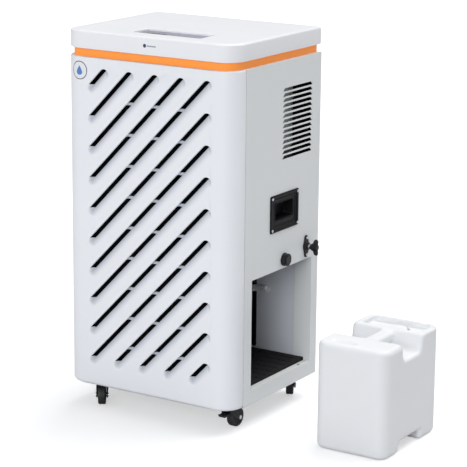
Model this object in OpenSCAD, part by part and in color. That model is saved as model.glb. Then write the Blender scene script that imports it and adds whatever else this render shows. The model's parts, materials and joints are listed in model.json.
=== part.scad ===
// Commercial compressor dehumidifier on casters, with its water tank standing beside it.
// Millimetres. Origin on the floor under the middle of the whole set, cabinet and tank.
// +X is the service side (water bay and tank), -Y is the front grille, +Z is up.
// Parts are drawn about the centre of the cabinet footprint and moved by set_down().

/* [Cabinet] */
// Overall width of the cabinet
body_w = 500; // [496:1:504]
// Overall depth of the cabinet
body_d = 412; // [410:1:416]
// Height of the cabinet underside above the floor
body_z0 = 60; // [60:0.5:61]
// Height of the top edge of the cabinet body
body_z1 = 901; // [899:1:904]
// Outer radius of the two front vertical corners
corner_r = 53; // [48:1:56]
// Wall thickness of the moulded front panel
wall = 3; // [2.6:0.1:3.2]
// Thickness of the folded steel sheet
sheet = 1.5; // [1.2:0.1:1.6]

/* [Lid] */
// Height of the accent band between body and lid
band_h = 20; // [18:1:22]
// How far the band is set back from the outer skin
band_inset = 9; // [8:0.5:10]
// Height of the lid skirt
lid_h = 44; // [40:1:48]
// Length of the control recess in the lid
recess_w = 200; // [196:1:206]
// Depth, front to back, of the control recess
recess_d = 72; // [70:1:76]

/* [Front grille] */
// Width of one diagonal scoop
groove_w = 29; // [26:1:31]
// Depth of a scoop at its slot edge
groove_depth = 8; // [6:0.5:8.5]
// Width of the through slot along the upper edge of a scoop
slot_w = 9; // [7:0.5:10]
// Column spacing of the scoops
pitch_x = 75; // [74:0.5:75.5]
// Row spacing of the scoops
pitch_z = 77.5; // [77:0.5:78]

/* [Water bay] */
// Height of the bay opening
bay_h = 280; // [276:1:282]
// Length of the bay opening, front to back
bay_l = 290; // [288:1:292]
// Depth of the bay behind the outer skin
bay_depth = 204; // [200:1:206]
// Height of the mat top above the floor
mat_top = 106; // [102:1:106]
// Length of the water tank
tank_l = 282; // [274:1:284]
// Width of the water tank
tank_w = 194; // [186:1:196]
// Height of the water tank
tank_h = 270; // [264:1:271]
// Free gap between the cabinet side and the tank standing beside it
tank_gap = 198; // [180:1:240]

/* [Casters] */
// Diameter of a caster wheel
wheel_d = 50; // [48:1:50]
// Distance from the swivel axis to the wheel axle
caster_trail = 26; // [25:0.5:27]
// Radius of a wheel axle
axle_r = 3; // [2.5:0.1:3.2]

/* [Fan] */
// Tip radius of the fan impeller
fan_r = 132; // [120:1:134]
// Number of fan blades
fan_blades = 5; // [3:1:7]

/* [Hidden] */

$fn = 48;

// cabinet faces and levels
half_w = body_w / 2;
front_y = -body_d / 2;
rear_y = body_d / 2;
seam_y = front_y + 56; // joint between front panel and side panels
pan_z = body_z0 + 3.2; // underside of the base pan
band_top = body_z1 + band_h;
lid_top = band_top + lid_h;
shelf_z = 424;
// bay opening
bay_x0 = half_w - bay_depth;
bay_y0 = front_y + 91;
bay_y1 = bay_y0 + bay_l;
bay_z0 = body_z0 + 38;
bay_z1 = bay_z0 + bay_h;
// floor of the control recess
recess_x = 19.5;
recess_y = front_y + 91;
recess_z = lid_top - 5;
// fittings on the side panels, each centred on y, z
handle_y = 33;
handle_z = body_z0 + 465;
handle_proud = 3;
screw_head = 1.8;
port_y = 37;
port_z = 400;
latch_y = 143;
latch_z = 412;
latch_screws = [-22, 22];
handle_screws = corners(60.5, 40);
screw_hole_r = 2.2;
// screws of the rear panel: x, z
rear_screws = [for (x = [-half_w + 11, half_w - 11]) for (z = [90, 290, 490, 690, 872]) [x, z]];
// entry of the mains lead in the rear panel
cord_x = -150;
cord_z = 130;
// outlet of the drip tray
outlet = [150, -20];
// compressor axis and its three feet
comp_x = -95;
comp_y = 40;
foot_r = 84;
foot_angles = [0, 120, 240];
feet = [for (a = foot_angles) [comp_x + foot_r * cos(a), comp_y + foot_r * sin(a)]];
// casters: pivot x, pivot y, trail direction in degrees
casters = [[-178, -146, -58], [208, -146, 88], [-178, 146, 60], [208, 146, 118]];
front_left = 0;
front_right = 1;
rear_left = 2;
rear_right = 3;
wheel_r = wheel_d / 2;
// tank beside the cabinet
tank_x = half_w + tank_gap + tank_w / 2;
tank_y = front_y + 198;
// middle of the set: in x, from the left handle screws to the far side of the tank
set_x = (tank_gap + tank_w - handle_proud - screw_head) / 2;
set_y = 9.885;

// ---------- helpers ----------
// the four points (+-dx, +-dy)
function corners(dx, dy) = [for (a = [-1, 1]) for (b = [-1, 1]) [a * dx, b * dy]];
module box(x0, x1, y0, y1, z0, z1) {
  translate([x0, y0, z0]) cube([x1 - x0, y1 - y0, z1 - z0]);
}
// box given for the +x side, mirrored to -x when side is -1
module side_box(side, x0, x1, y0, y1, z0, z1) {
  if (side > 0) box(x0, x1, y0, y1, z0, z1);
  else box(-x1, -x0, y0, y1, z0, z1);
}
// rounded rectangle centred on the origin
module rounded_rect(width, height, radius) {
  square([width - 2 * radius, height], center = true);
  square([width, height - 2 * radius], center = true);
  for (p = corners(width / 2 - radius, height / 2 - radius)) translate(p) circle(radius);
}
// plan outline of the cabinet, square at the rear
module plan(inset) {
  corner_y = front_y + corner_r;
  translate([-half_w + inset, corner_y])
    square([body_w - 2 * inset, rear_y - inset - corner_y]);
  translate([-half_w + corner_r, front_y + inset]) square([body_w - 2 * corner_r, corner_r]);
  for (side = [-1, 1])
    translate([side * (half_w - corner_r), corner_y]) circle(corner_r - inset, $fn = 64);
}
// extrude a 2D shape drawn in y-z along x, in x-z along y, or in x-y along z
module push_x(x0, x1) { translate([x0, 0, 0]) rotate([90, 0, 90]) linear_extrude(x1 - x0) children(); }
module push_y(y0, y1) { translate([0, y1, 0]) rotate([90, 0, 0]) linear_extrude(y1 - y0) children(); }
module push_z(z0, z1) { translate([0, 0, z0]) linear_extrude(z1 - z0) children(); }
module cyl_x(radius, x0, x1) { translate([x0, 0, 0]) rotate([0, 90, 0]) cylinder(r = radius, h = x1 - x0); }
module cyl_y(radius, y0, y1) { translate([0, y0, 0]) rotate([-90, 0, 0]) cylinder(r = radius, h = y1 - y0); }
module cyl_z(radius, z0, z1) { translate([0, 0, z0]) cylinder(r = radius, h = z1 - z0); }
// cylinder along y, centred on the origin
module cross_cyl(radius, length) { rotate([90, 0, 0]) cylinder(r = radius, h = length, center = true); }
// round tube along a list of points, with a ball at each bend
module tube_path(path, radius, bead = 0.4) {
  for (i = [0:len(path) - 2]) {
    step = path[i + 1] - path[i];
    length = norm(step);
    tilt = acos(step.z / length);
    heading = atan2(step.y, step.x);
    translate(path[i]) rotate([0, tilt, heading]) cylinder(r = radius, h = length, $fn = 24);
    if (i > 0) translate(path[i]) rotate([37, 0, 23]) sphere(radius + bead, $fn = 24);
  }
}

// ---------- front grille ----------
// Parallel scoops climbing towards +x; number 0 is the short one at the top left.
scoops = [0:13];
grille_x0 = -160.3;
first_col = 35; // width of the first column
grille_x1 = grille_x0 + first_col + 4 * pitch_x;
grille_z = body_z0 + 930; // height of the line of scoop 0 at x = 0
scoop_slope = pitch_z / pitch_x;
scoop_angle = atan(scoop_slope);
scoop_half = groove_w / 2;

// ends of the centre line of scoop i, its height at x, and its length
function scoop_x0(i) = i <= 9 ? grille_x0 : grille_x0 + pitch_x * (i - 9);
function scoop_x1(i) = i <= 4 ? grille_x0 + first_col + pitch_x * i : grille_x1;
function scoop_z(i, x) = grille_z - pitch_z * i + scoop_slope * x;
function scoop_len(i) = (scoop_x1(i) - scoop_x0(i)) / cos(scoop_angle);
// x at height z on the line lying across above the centre line of scoop i
function slot_x(i, z, across) = scoop_x0(i)
  + (z - scoop_z(i, scoop_x0(i)) - across * cos(scoop_angle)) / tan(scoop_angle)
  - across * sin(scoop_angle);
// heights of the ribs that interrupt the slot of scoop i
function rib_zs(i) = [for (k = [1:3]) let (x = grille_x0 + first_col + k * pitch_x)
  if (x > scoop_x0(i) + 12 && x < scoop_x1(i) - 12) scoop_z(i, x + 4) + 9];

module at_scoop(i) {
  translate([scoop_x0(i), scoop_z(i, scoop_x0(i))]) rotate(scoop_angle) children();
}
module stadium(length, radius) {
  translate([0, -radius]) square([length, 2 * radius]);
  circle(radius);
  translate([length, 0]) circle(radius);
}
// solid behind a scoop
module scoop_back(i) {
  push_y(front_y + 1, front_y + groove_depth + 3.5)
    at_scoop(i) stadium(scoop_len(i), scoop_half + 2.5);
}
// hollow of a scoop: deepens from its lower edge and from its lower end
module scoop_cut(i) {
  far = scoop_len(i) + scoop_half + 4;
  intersection() {
    push_y(front_y - 2, front_y + groove_depth + 1) at_scoop(i) stadium(scoop_len(i), scoop_half);
    translate([scoop_x0(i), front_y, scoop_z(i, scoop_x0(i))])
      rotate([0, -scoop_angle, 0]) intersection() {
        push_x(-scoop_half - 4, far) polygon([[-3, -scoop_half - 2], [-3, scoop_half + 2],
          [groove_depth, scoop_half + 2], [groove_depth, scoop_half - slot_w], [0, -scoop_half]]);
        push_z(-scoop_half - 4, scoop_half + 4) polygon([[-scoop_half, -3], [-scoop_half, 0],
          [scoop_half * 0.55, groove_depth], [far, groove_depth], [far, -3]]);
      }
  }
}
module slot_segment(i, z0, z1) {
  low = scoop_half - slot_w;
  high = scoop_half + 0.5;
  polygon([[slot_x(i, z0, low), z0], [slot_x(i, z1, low), z1],
    [slot_x(i, z1, high), z1], [slot_x(i, z0, high), z0]]);
}
// through slots of a scoop, between the ribs
module scoop_slots(i) {
  half_rib = 3.5;
  stops = concat([scoop_z(i, scoop_x0(i)) + 9.5], rib_zs(i), [scoop_z(i, scoop_x1(i)) + 40]);
  push_y(front_y - 2, front_y + 20) intersection() {
    at_scoop(i) stadium(scoop_len(i), scoop_half);
    for (k = [0:len(stops) - 2])
      slot_segment(i, stops[k] + (k == 0 ? 0 : half_rib), stops[k + 1] - half_rib);
  }
}
// plan outline in front of the seam
module front_plan(inset) intersection() {
  plan(inset);
  translate([-half_w - 1, front_y - 1]) square([body_w + 2, seam_y - 0.4 - front_y + 1]);
}
module front_panel() color([0.9, 0.91, 0.93]) {
  difference() {
    union() {
      push_z(body_z0, body_z1) difference() { front_plan(0); plan(wall); }
      // flanges along the bottom and top edges
      for (z = [body_z0, body_z1 - wall])
        push_z(z, z + wall) difference() { front_plan(0.5); plan(13); }
      for (i = scoops) scoop_back(i);
    }
    for (i = scoops) scoop_cut(i);
    for (i = scoops) scoop_slots(i);
  }
}

// ---------- steel panels ----------
// top edges of the fourteen louvre slots
louvre_tops = [for (k = [0:13]) body_z0 + 773 - 12.95 * k];

// slots wider at the bottom edge
module louvre_slots(side) {
  for (z = louvre_tops)
    push_x(side * half_w - 6, side * half_w + 6) polygon([[front_y + 235, z],
      [front_y + 362, z], [front_y + 371, z - 8.6], [front_y + 226, z - 8.6]]);
}
// a short lip folded inwards along the top edge of each slot
module louvre_fins(side) {
  skin = side * (half_w - sheet);
  tip = side * (half_w - 5);
  root = skin + side * 0.4;
  for (z = louvre_tops)
    push_y(front_y + 237, front_y + 360)
      polygon([[root, z - 0.2], [root, z + 1], [skin, z + 1], [tip, z + 0.2], [tip, z - 0.8]]);
}
// outer skin with returns folded in on all four edges
module side_skin(side) {
  skin = half_w - sheet;
  edge_y = seam_y + 1.3;
  side_box(side, skin, half_w, edge_y, rear_y, body_z0, body_z1);
  side_box(side, half_w - 16, skin + 0.1, edge_y, edge_y + sheet, body_z0 + 7, body_z1 - 6);
  side_box(side, half_w - 20, skin + 0.1, rear_y - sheet, rear_y, body_z0, body_z1);
  for (z = [body_z1 - sheet, body_z0])
    side_box(side, half_w - 13, skin + 0.1, edge_y, rear_y, z, z + sheet);
}
module rear_screw_holes() for (p = rear_screws)
  translate([p[0], 0, p[1]]) cyl_y(screw_hole_r, rear_y - 6, rear_y + 2);
// openings both side panels share: louvres, handle with its screws, rear screws
module side_cuts(side) {
  x = side * (half_w - 1);
  louvre_slots(side);
  translate([0, handle_y, handle_z]) {
    box(x - 3, x + 3, -54, 54, -35, 35);
    for (p = handle_screws) translate([0, p[0], p[1]]) cyl_x(screw_hole_r, x - 3, x + 3);
  }
  rear_screw_holes();
}
module side_panel_right() color([0.86, 0.88, 0.9]) difference() {
  lip_x = half_w - 18;
  lip_x1 = half_w - 0.5;
  low_z = bay_z0 - sheet;
  high_z = bay_z1 + sheet;
  union() {
    side_skin(1);
    louvre_fins(1);
    // sill, rear, front and top returns of the bay opening
    box(lip_x, lip_x1, bay_y0 - 1, bay_y1, low_z, bay_z0);
    box(half_w - 50, lip_x1, bay_y1, bay_y1 + sheet, low_z, high_z);
    box(lip_x, lip_x1, bay_y0 - sheet, bay_y0, low_z, high_z);
    box(lip_x, lip_x1, bay_y0 - sheet, bay_y1, bay_z1, high_z);
  }
  side_cuts(1);
  box(half_w - 3, half_w + 2, bay_y0, bay_y1, bay_z0, bay_z1);
  // two oblong holes in the sill
  for (y = [bay_y0 + 8, bay_y1 - 42]) translate([half_w - 9, y, bay_z0 - 4]) linear_extrude(6) {
    square([5, 9], center = true);
    for (end = [-4.5, 4.5]) translate([0, end]) circle(2.5);
  }
  translate([0, port_y, port_z]) cyl_x(11.2, half_w - 4, half_w + 2);
  translate([0, latch_y, latch_z]) cyl_x(6.3, half_w - 4, half_w + 2);
  for (z = latch_screws)
    translate([0, latch_y, latch_z + z]) cyl_x(screw_hole_r, half_w - 4, half_w + 2);
}
module side_panel_left() color([0.86, 0.88, 0.9]) difference() {
  union() { side_skin(-1); louvre_fins(-1); }
  side_cuts(-1);
}
// folded hooks for the mains lead: x, arm bottom and top, lip bottom and top
cord_hooks = [[-110, 434.5, 436, 434.5, 450], [-106, 260, 261.5, 246, 261.5]];
module rear_panel() color([0.84, 0.86, 0.88]) difference() {
  plate_y = rear_y - sheet - 0.2;
  rib_zs = [230, 620];
  union() {
    box(-half_w + 2, half_w - 2, plate_y - sheet, plate_y, body_z0 + 4, body_z1 - 4);
    // stiffening ribs pressed outwards
    for (z = rib_zs) box(-190, 190, rear_y - 3, rear_y - 0.4, z, z + 14);
    for (hook = cord_hooks) translate([hook[0], 0, 0]) {
      box(-9, 9, rear_y - 2.5, rear_y + 17, hook[1], hook[2]);
      box(-9, 9, rear_y + 15.5, rear_y + 17, hook[3], hook[4]);
    }
  }
  translate([cord_x, 0, cord_z]) cyl_y(9.2, rear_y - 6, rear_y + 2);
  rear_screw_holes();
  for (z = rib_zs) box(-188.5, 188.5, rear_y - 8, rear_y - 1.9, z + 1.5, z + 12.5);
}
module base_pan() color([0.55, 0.57, 0.6]) difference() {
  edge = 4.5; // inset from the outer skin
  rim_top = pan_z + 22;
  union() {
    push_z(pan_z, pan_z + 2) plan(edge);
    for (side = [-1, 1])
      side_box(side, half_w - edge - 2, half_w - edge, seam_y + 4, rear_y - 6, pan_z, rim_top);
    box(-half_w + edge, half_w - edge, rear_y - edge - 2, rear_y - edge, pan_z, rim_top);
  }
  for (c = casters) translate([c[0], c[1], 0]) caster_holes(pan_z - 1, pan_z + 4);
  for (foot = feet) translate(foot) cyl_z(5.2, pan_z - 1, pan_z + 4);
}
module top_plate() color([0.8, 0.82, 0.84]) difference() {
  push_z(body_z1 - wall - 2.2, body_z1 - wall - 0.2) plan(4);
  translate([recess_x - 60, recess_y + 60, 0]) cyl_z(14, body_z1 - 8, body_z1);
}
module accent_band() color([0.98, 0.5, 0.12])
  push_z(body_z1 + 0.1, band_top - 0.1) difference() {
    plan(band_inset);
    plan(band_inset + 3);
  }

// ---------- lid and controls ----------
// Drawn about the centre of the recess floor; x offsets of the display and the keys.
display_dx = -52;
function key_dx(k) = 4 + 24 * k;
module at_recess() translate([recess_x, recess_y, recess_z]) children();

module top_lid() color([0.95, 0.95, 0.96]) difference() {
  union() {
    push_z(band_top, lid_top - 4.5) plan(0);
    // softened top edge
    hull() {
      push_z(lid_top - 4.6, lid_top - 4.5) plan(0);
      push_z(lid_top - 2.2, lid_top - 2.1) plan(0.7);
      push_z(lid_top - 0.1, lid_top) plan(4.2);
    }
  }
  // hollow around the recess block, opening below, and space under the recess
  push_z(band_top + 3, lid_top - 3) difference() {
    plan(3);
    translate([recess_x, recess_y]) rounded_rect(recess_w + 6, recess_d + 6, 7);
  }
  push_z(band_top - 1, band_top + 4) plan(13);
  at_recess() {
    push_z(band_top + 2 - recess_z, -6.4) square([recess_w + 8, recess_d + 8], center = true);
    push_z(-3, 17) rounded_rect(recess_w, recess_d, 4);
    push_z(-12, 8) rounded_rect(recess_w - 8, recess_d - 8, 2);
  }
}
module control_panel() color([0.62, 0.63, 0.67]) at_recess() difference() {
  union() {
    push_z(-2.9, 0) rounded_rect(recess_w - 0.6, recess_d - 0.6, 3.7);
    for (p = corners(86, 24)) translate(p) cyl_z(3, -9.9, -2.8);
  }
  translate([display_dx, 0, 0]) push_z(-5, 5) rounded_rect(66, 34, 3);
  for (k = [0:3]) translate([key_dx(k), 0, 0]) cyl_z(7.4, -4, 1);
}
module display_window() color([0.08, 0.09, 0.11]) at_recess() translate([display_dx, 0, 0]) union() {
  push_z(-2.4, -0.2) rounded_rect(65.5, 33.5, 2.8);
  push_z(-4, -3) rounded_rect(71, 39, 4);
}
// key number k from the left: cap, flange and plunger
module key(k) color([0.85, 0.86, 0.88]) at_recess() translate([key_dx(k), 0, 0]) {
  cyl_z(7.1, -4.2, 0.9);
  cyl_z(8.8, -5.2, -4.2);
  cyl_z(2, -7.6, -5);
}
module key_power() key(0);
module key_mode() key(1);
module key_up() key(2);
module key_down() key(3);
module control_board() color([0.1, 0.4, 0.2]) at_recess() union() {
  push_z(-11.7, -10.1) rounded_rect(184, 58, 3);
  for (k = [0:3]) translate([key_dx(k), 0, 0]) box(-3, 3, -3, 3, -10.3, -8.6);
  box(display_dx - 28, display_dx + 28, -12, 12, -10.3, -5.2);
}

// ---------- inner structure ----------
bay_wall_y = 185; // front face of the wall behind the bay
liner_y1 = bay_wall_y - 0.2;
liner_z0 = mat_top - 12;
bay_top = shelf_z - 0.3;
// holes through the shelf: x, y, radius
shelf_holes = [[outlet.x, outlet.y, 9], [-60, 44, 7], [-230, -65, 8]];

module mid_shelf() color([0.78, 0.8, 0.82]) difference() {
  shelf_y = front_y + 64;
  union() {
    box(-half_w + 2, half_w - 2, shelf_y, rear_y - 22, shelf_z, shelf_z + sheet);
    box(-half_w + 2, half_w - 2, shelf_y, shelf_y + sheet, shelf_z - 14, shelf_z + 0.1);
  }
  for (h = shelf_holes) translate([h[0], h[1], 0]) cyl_z(h[2], shelf_z - 2, shelf_z + 4);
}
// inner wall, floor and front wall of the bay
module bay_liner() color([0.07, 0.07, 0.08]) union() {
  box(bay_x0, bay_x0 + 1.5, bay_y0 - 6, liner_y1, liner_z0, bay_top);
  box(bay_x0, half_w - 19, bay_y0 - 6, liner_y1, liner_z0, liner_z0 + 1.5);
  box(bay_x0, half_w - 19, bay_y0 - 7, bay_y0 - 5.5, liner_z0, bay_top);
  // legs standing on the base pan
  for (y = [bay_y0 + 4, 165])
    box(bay_x0, half_w - 30, y, y + sheet, pan_z + 2.1, liner_z0 + 0.1);
}
module bay_wall_rear() color([0.8, 0.83, 0.86])
  box(bay_x0, half_w - 8, bay_wall_y, bay_wall_y + 1.5, pan_z + 2.3, bay_top);
module bay_mat() color([0.05, 0.05, 0.055]) difference() {
  box(bay_x0 + 2.5, half_w - 19.5, bay_y0 - 4.5, bay_y1 - 0.6, mat_top - 10.2, mat_top);
  // cross grooves
  for (k = [0:8]) let (y = bay_y0 + 8 + 32 * k)
    box(bay_x0 + 3.5, half_w - 21, y, y + 3, mat_top - 1.5, mat_top + 1);
}
// frame with three columns and five rows of windows
module filter_frame() color([0.1, 0.1, 0.11]) difference() {
  box(-206, 206, -192, -182, 100, 886);
  for (column = [0:2]) for (row = [0:4])
    translate([-198 + 133.5 * column, -193, 108 + 155 * row]) cube([129, 12, 150]);
}
module filter_mesh() color([0.13, 0.13, 0.14]) difference() {
  box(-205, 205, -181.8, -180.4, 101, 885);
  for (x = [-100, 100]) translate([x, 0, 500]) cyl_y(3, -183, -179);
}

// ---------- refrigeration ----------
coil_x0 = -190;
coil_x1 = 186;
coil_z0 = 458.3;
coil_z1 = 882;
coil_rows = 10;
row_pitch = (coil_z1 - coil_z0) / coil_rows;
coil_tube_r = 4.8;
fin_pitch = 14;
evaporator_y = [-95, -50];
condenser_y = [-25, 25];
// y of the two tube columns of a coil spanning [front, rear]
function tube_ys(span) = [(span[0] * 2 + span[1]) / 3, (span[0] + span[1] * 2) / 3];

// fin block, end plates and return bends of a tube-and-fin coil
module coil(span) {
  y0 = span[0];
  y1 = span[1];
  for (k = [0:floor((coil_x1 - coil_x0 - 24) / fin_pitch)])
    translate([coil_x0 + 12 + fin_pitch * k, y0 + 2, coil_z0 + 3])
      cube([2.6, y1 - y0 - 4, coil_z1 - coil_z0 - 6]);
  for (x = [coil_x0 + 4, coil_x1 - 5.5]) box(x, x + 1.5, y0, y1, coil_z0, coil_z1);
  for (k = [0:coil_rows - 1]) for (y = tube_ys(span))
    translate([0, y, coil_z0 + row_pitch * (k + 0.5)]) cyl_x(coil_tube_r, coil_x0 - 4, coil_x1 + 4);
  // bends alternate between the right and left ends
  for (k = [0:coil_rows - 2]) for (y = tube_ys(span)) {
    right = k % 2 == 0;
    translate([right ? coil_x1 + 4 : coil_x0 - 4, y, coil_z0 + row_pitch * (k + 1)])
      rotate([90, 0, 0]) rotate([0, 0, right ? -90 : 90])
        rotate_extrude(angle = 180, $fn = 24)
          translate([row_pitch / 2, 0]) circle(coil_tube_r, $fn = 16);
  }
}
module evaporator_coil() color([0.72, 0.74, 0.76]) coil(evaporator_y);
module condenser_coil() color([0.7, 0.66, 0.6]) coil(condenser_y);
module drip_tray() color([0.15, 0.16, 0.17]) difference() {
  union() {
    box(-212, 206, -108, 36, shelf_z + sheet + 0.3, 458);
    translate(outlet) cyl_z(8, shelf_z - 12, shelf_z + 4);
  }
  // hollow, leaving four bars along y
  difference() {
    box(-209.5, 203.5, -105.5, 33.5, shelf_z + 6, 461);
    for (x = [-188, 179]) for (y = [-98, -28]) box(x, x + 5, y, y + 56, shelf_z + 5, 457.9);
  }
  translate(outlet) cyl_z(6, shelf_z - 13, shelf_z + 8);
}
// cuff under the tray, two moulded elbows and the cuff on the port
module drain_hose() color([0.75, 0.77, 0.78]) difference() {
  union() {
    translate(outlet) {
      cyl_z(10.5, shelf_z - 24, shelf_z - 4.4);
      cyl_z(7.4, 391, shelf_z - 20);
    }
    translate([outlet.x, 0, port_z]) cyl_y(7.9, -30, port_y + 9.6);
    translate([0, port_y, port_z]) {
      cyl_x(7.2, 141, 210);
      cyl_x(9.5, 207, 226);
    }
  }
  translate(outlet) {
    cyl_z(8.1, shelf_z - 13, shelf_z + 1);
    cyl_z(5, 396, shelf_z - 10);
  }
  translate([outlet.x, 0, port_z]) cyl_y(5.4, -26, port_y + 6);
  translate([0, port_y, port_z]) {
    cyl_x(4.7, 146, 216);
    cyl_x(6.6, 212, 230);
  }
}
// bulkhead fitting: flange and spout outside, hex nut and hose tail inside
module drain_port() color([0.1, 0.1, 0.11]) translate([0, port_y, port_z]) difference() {
  union() {
    cyl_x(16.8, half_w + 0.1, half_w + 2.1);
    cyl_x(11, half_w - 12, half_w + 10.5);
    cyl_x(6.5, 213, half_w - 11.9);
    cyl_x(17, half_w - 7.5, half_w - 1.7, $fn = 6);
  }
  cyl_x(4.5, 200, half_w + 12);
}
module drain_cap() color([0.12, 0.12, 0.13]) translate([0, port_y, port_z]) difference() {
  union() {
    cyl_x(16.2, half_w + 2.4, half_w + 12, $fn = 12);
    cyl_x(13.6, half_w + 11.9, half_w + 14, $fn = 6);
  }
  cyl_x(11.15, half_w + 2, half_w + 11);
}
// accumulator axis, from the compressor axis
accum_dx = -8;
accum_dy = -92;
module compressor() color([0.09, 0.09, 0.1]) union() {
  shell_r = 62;
  shell_top = 285;
  translate([comp_x, comp_y, 0]) {
    cyl_z(shell_r, 84, shell_top);
    translate([0, 0, shell_top]) intersection() {
      sphere(shell_r);
      box(-70, 70, -70, 70, 0, 24);
    }
    cyl_z(22, 307, 322);
    for (a = foot_angles) rotate([0, 0, a]) difference() {
      box(40, 96, -14, 14, 80, 84.5);
      translate([foot_r, 0, 0]) cyl_z(7, 78, 88);
    }
    cyl_z(5, 320, 338);
    // accumulator, its strap and the tube into the shell
    translate([accum_dx, accum_dy, 0]) {
      cyl_z(24, 120, 262);
      cyl_z(5, 262, 286);
      cyl_z(5, 104, 120);
    }
    translate([accum_dx, 0, 0]) box(-5, 5, accum_dy, -50, 170, 182);
    translate([accum_dx, accum_dy, 104]) sphere(5);
    tube_path([[accum_dx, accum_dy, 104], [accum_dx, -57, 104]], 5);
  }
}
module compressor_grommets() color([0.06, 0.06, 0.065]) for (foot = feet)
  translate(foot) difference() {
    union() {
      cyl_z(11, pan_z + 2.1, 79.8);
      cyl_z(6.8, 79.7, 84.8);
      cyl_z(11, 84.7, 90);
    }
    cyl_z(3, 60, 92);
  }
module refrigerant_pipes() color([0.72, 0.42, 0.25]) {
  low_z = coil_z0 + row_pitch / 2;
  high_z = coil_z1 - row_pitch / 2;
  end_x = coil_x0 - 4.3;
  evap = tube_ys(evaporator_y);
  cond = tube_ys(condenser_y);
  accum_x = comp_x + accum_dx;
  accum_y = comp_y + accum_dy;
  // discharge line from the shell to the condenser
  tube_path([[comp_x, comp_y, 338.4], [comp_x, comp_y, 365], [-60, 44, 385], [-60, 44, 440],
    [-240, 44, 446], [-240, -38, 452], [-240, -38, 600], [-232, cond[1], 640],
    [-232, cond[1], high_z], [end_x, cond[1], high_z]], 4);
  // suction line from the evaporator to the accumulator
  tube_path([[end_x, evap[1], low_z], [-230, evap[1], low_z], [-230, evap[1], 405],
    [accum_x, accum_y, 360], [accum_x, accum_y, 286.4]], 4.5);
  // liquid line with its filter drier
  tube_path([[end_x, cond[0], low_z], [-208, cond[0], low_z], [-208, -34, low_z + 6],
    [-224, -42, 500], [-238, -100, 535], [-238, -100, 640],
    [-230, evap[0], high_z], [end_x, evap[0], high_z]], 3);
  translate([-238, -100, 0]) { cyl_z(8.6, 545, 615); cyl_z(5, 538, 622); }
}

// ---------- air movement ----------
fan_z = 668;
shroud_x = 212;
shroud_y = 52;

module fan_shroud() color([0.5, 0.56, 0.54]) difference() {
  union() {
    box(-shroud_x, shroud_x, shroud_y, shroud_y + 1.5, 430, 888);
    for (side = [-1, 1])
      side_box(side, shroud_x - 1.5, shroud_x, shroud_y, shroud_y + 80, 430, 888);
    // inlet ring
    translate([0, 0, fan_z]) cyl_y(fan_r + 6, shroud_y, 86);
  }
  translate([0, 0, fan_z]) cyl_y(fan_r + 4, 50, 88);
  // clearance for the handle pockets
  for (side = [-1, 1]) side_box(side, 205, 214, 50, 134, handle_z - 52, handle_z + 52);
}
module fan_impeller() color([0.1, 0.1, 0.11]) translate([0, 0, fan_z]) difference() {
  union() {
    cyl_y(34, 60, 92);
    for (k = [0:fan_blades - 1]) rotate([0, k * 360 / fan_blades, 0])
      translate([30, 76, 0]) rotate([62, 0, 0]) linear_extrude(3, center = true)
        polygon([[0, -13], [fan_r - 36, -22], [fan_r - 32, -16],
          [fan_r - 31, 10], [fan_r - 38, 18], [0, 13]]);
  }
  cyl_y(6.2, 58, 94);
}
module fan_motor() color([0.2, 0.21, 0.23]) translate([0, 0, fan_z]) {
  union() {
    cyl_y(6, 58, 112);
    cyl_y(44, 98, 158);
    // four bracket arms fixed to the shroud plate
    for (a = [45, 135, 225, 315]) rotate([0, a, 0]) {
      box(38, 168, 150, 154, -7, 7);
      box(164, 168, shroud_y + 1.8, 154, -7, 7);
    }
  }
}

// ---------- electrics ----------
elec_x0 = -half_w + 2;
elec_x1 = -138;
elec_z0 = 190;
elec_z1 = 386;
// box open towards +y
module electrical_box() color([0.78, 0.79, 0.8]) difference() {
  box(elec_x0, elec_x1, -145.5, -75, elec_z0, elec_z1);
  box(elec_x0 + 2, elec_x1 - 2, -143.5, -73, elec_z0 + 2, elec_z1 - 2);
}
module electrical_cover() color([0.74, 0.75, 0.77]) difference() {
  fixing_x = -194;
  union() {
    box(elec_x0, elec_x1, -74.8, -73.3, elec_z0, elec_z1);
    for (z = [elec_z0 + 20, elec_z1 - 20]) translate([fixing_x, 0, z]) cyl_y(4, -73.4, -71);
  }
  translate([fixing_x, 0, (elec_z0 + elec_z1) / 2]) cyl_y(8, -77, -70);
}
// snap switch on the rear wall of the bay, with a lever the tank pushes back
lever_x = 76;
lever_y = 172.5;
module tank_switch() color([0.82, 0.83, 0.84]) difference() {
  union() {
    box(80, 112, 174.5, liner_y1, 260, 276);
    box(72, 120, liner_y1 - 2, liner_y1, 264, 272);
    // two ears around the lever pivot: bottom, top
    for (ear = [[260.2, 264], [272, 275.8]]) {
      box(lever_x, 81, 171.5, 182, ear[0], ear[1]);
      translate([lever_x, lever_y, 0]) cyl_z(3.4, ear[0], ear[1]);
    }
  }
  translate([lever_x, lever_y, 0]) cyl_z(1.56, 250, 290);
}
module switch_lever() color([0.75, 0.76, 0.78]) {
  union() {
    translate([lever_x, lever_y, 0]) { cyl_z(1.5, 260.4, 275.6); cyl_z(2.6, 264.3, 271.7); }
    push_z(264.3, 271.7) polygon([[lever_x, 170.1], [lever_x, 171.6], [98, 171.6], [112, 167.5],
      [122, 167.5], [122, 166.2], [111.6, 166.2], [97.7, 170.1]]);
  }
}

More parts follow.
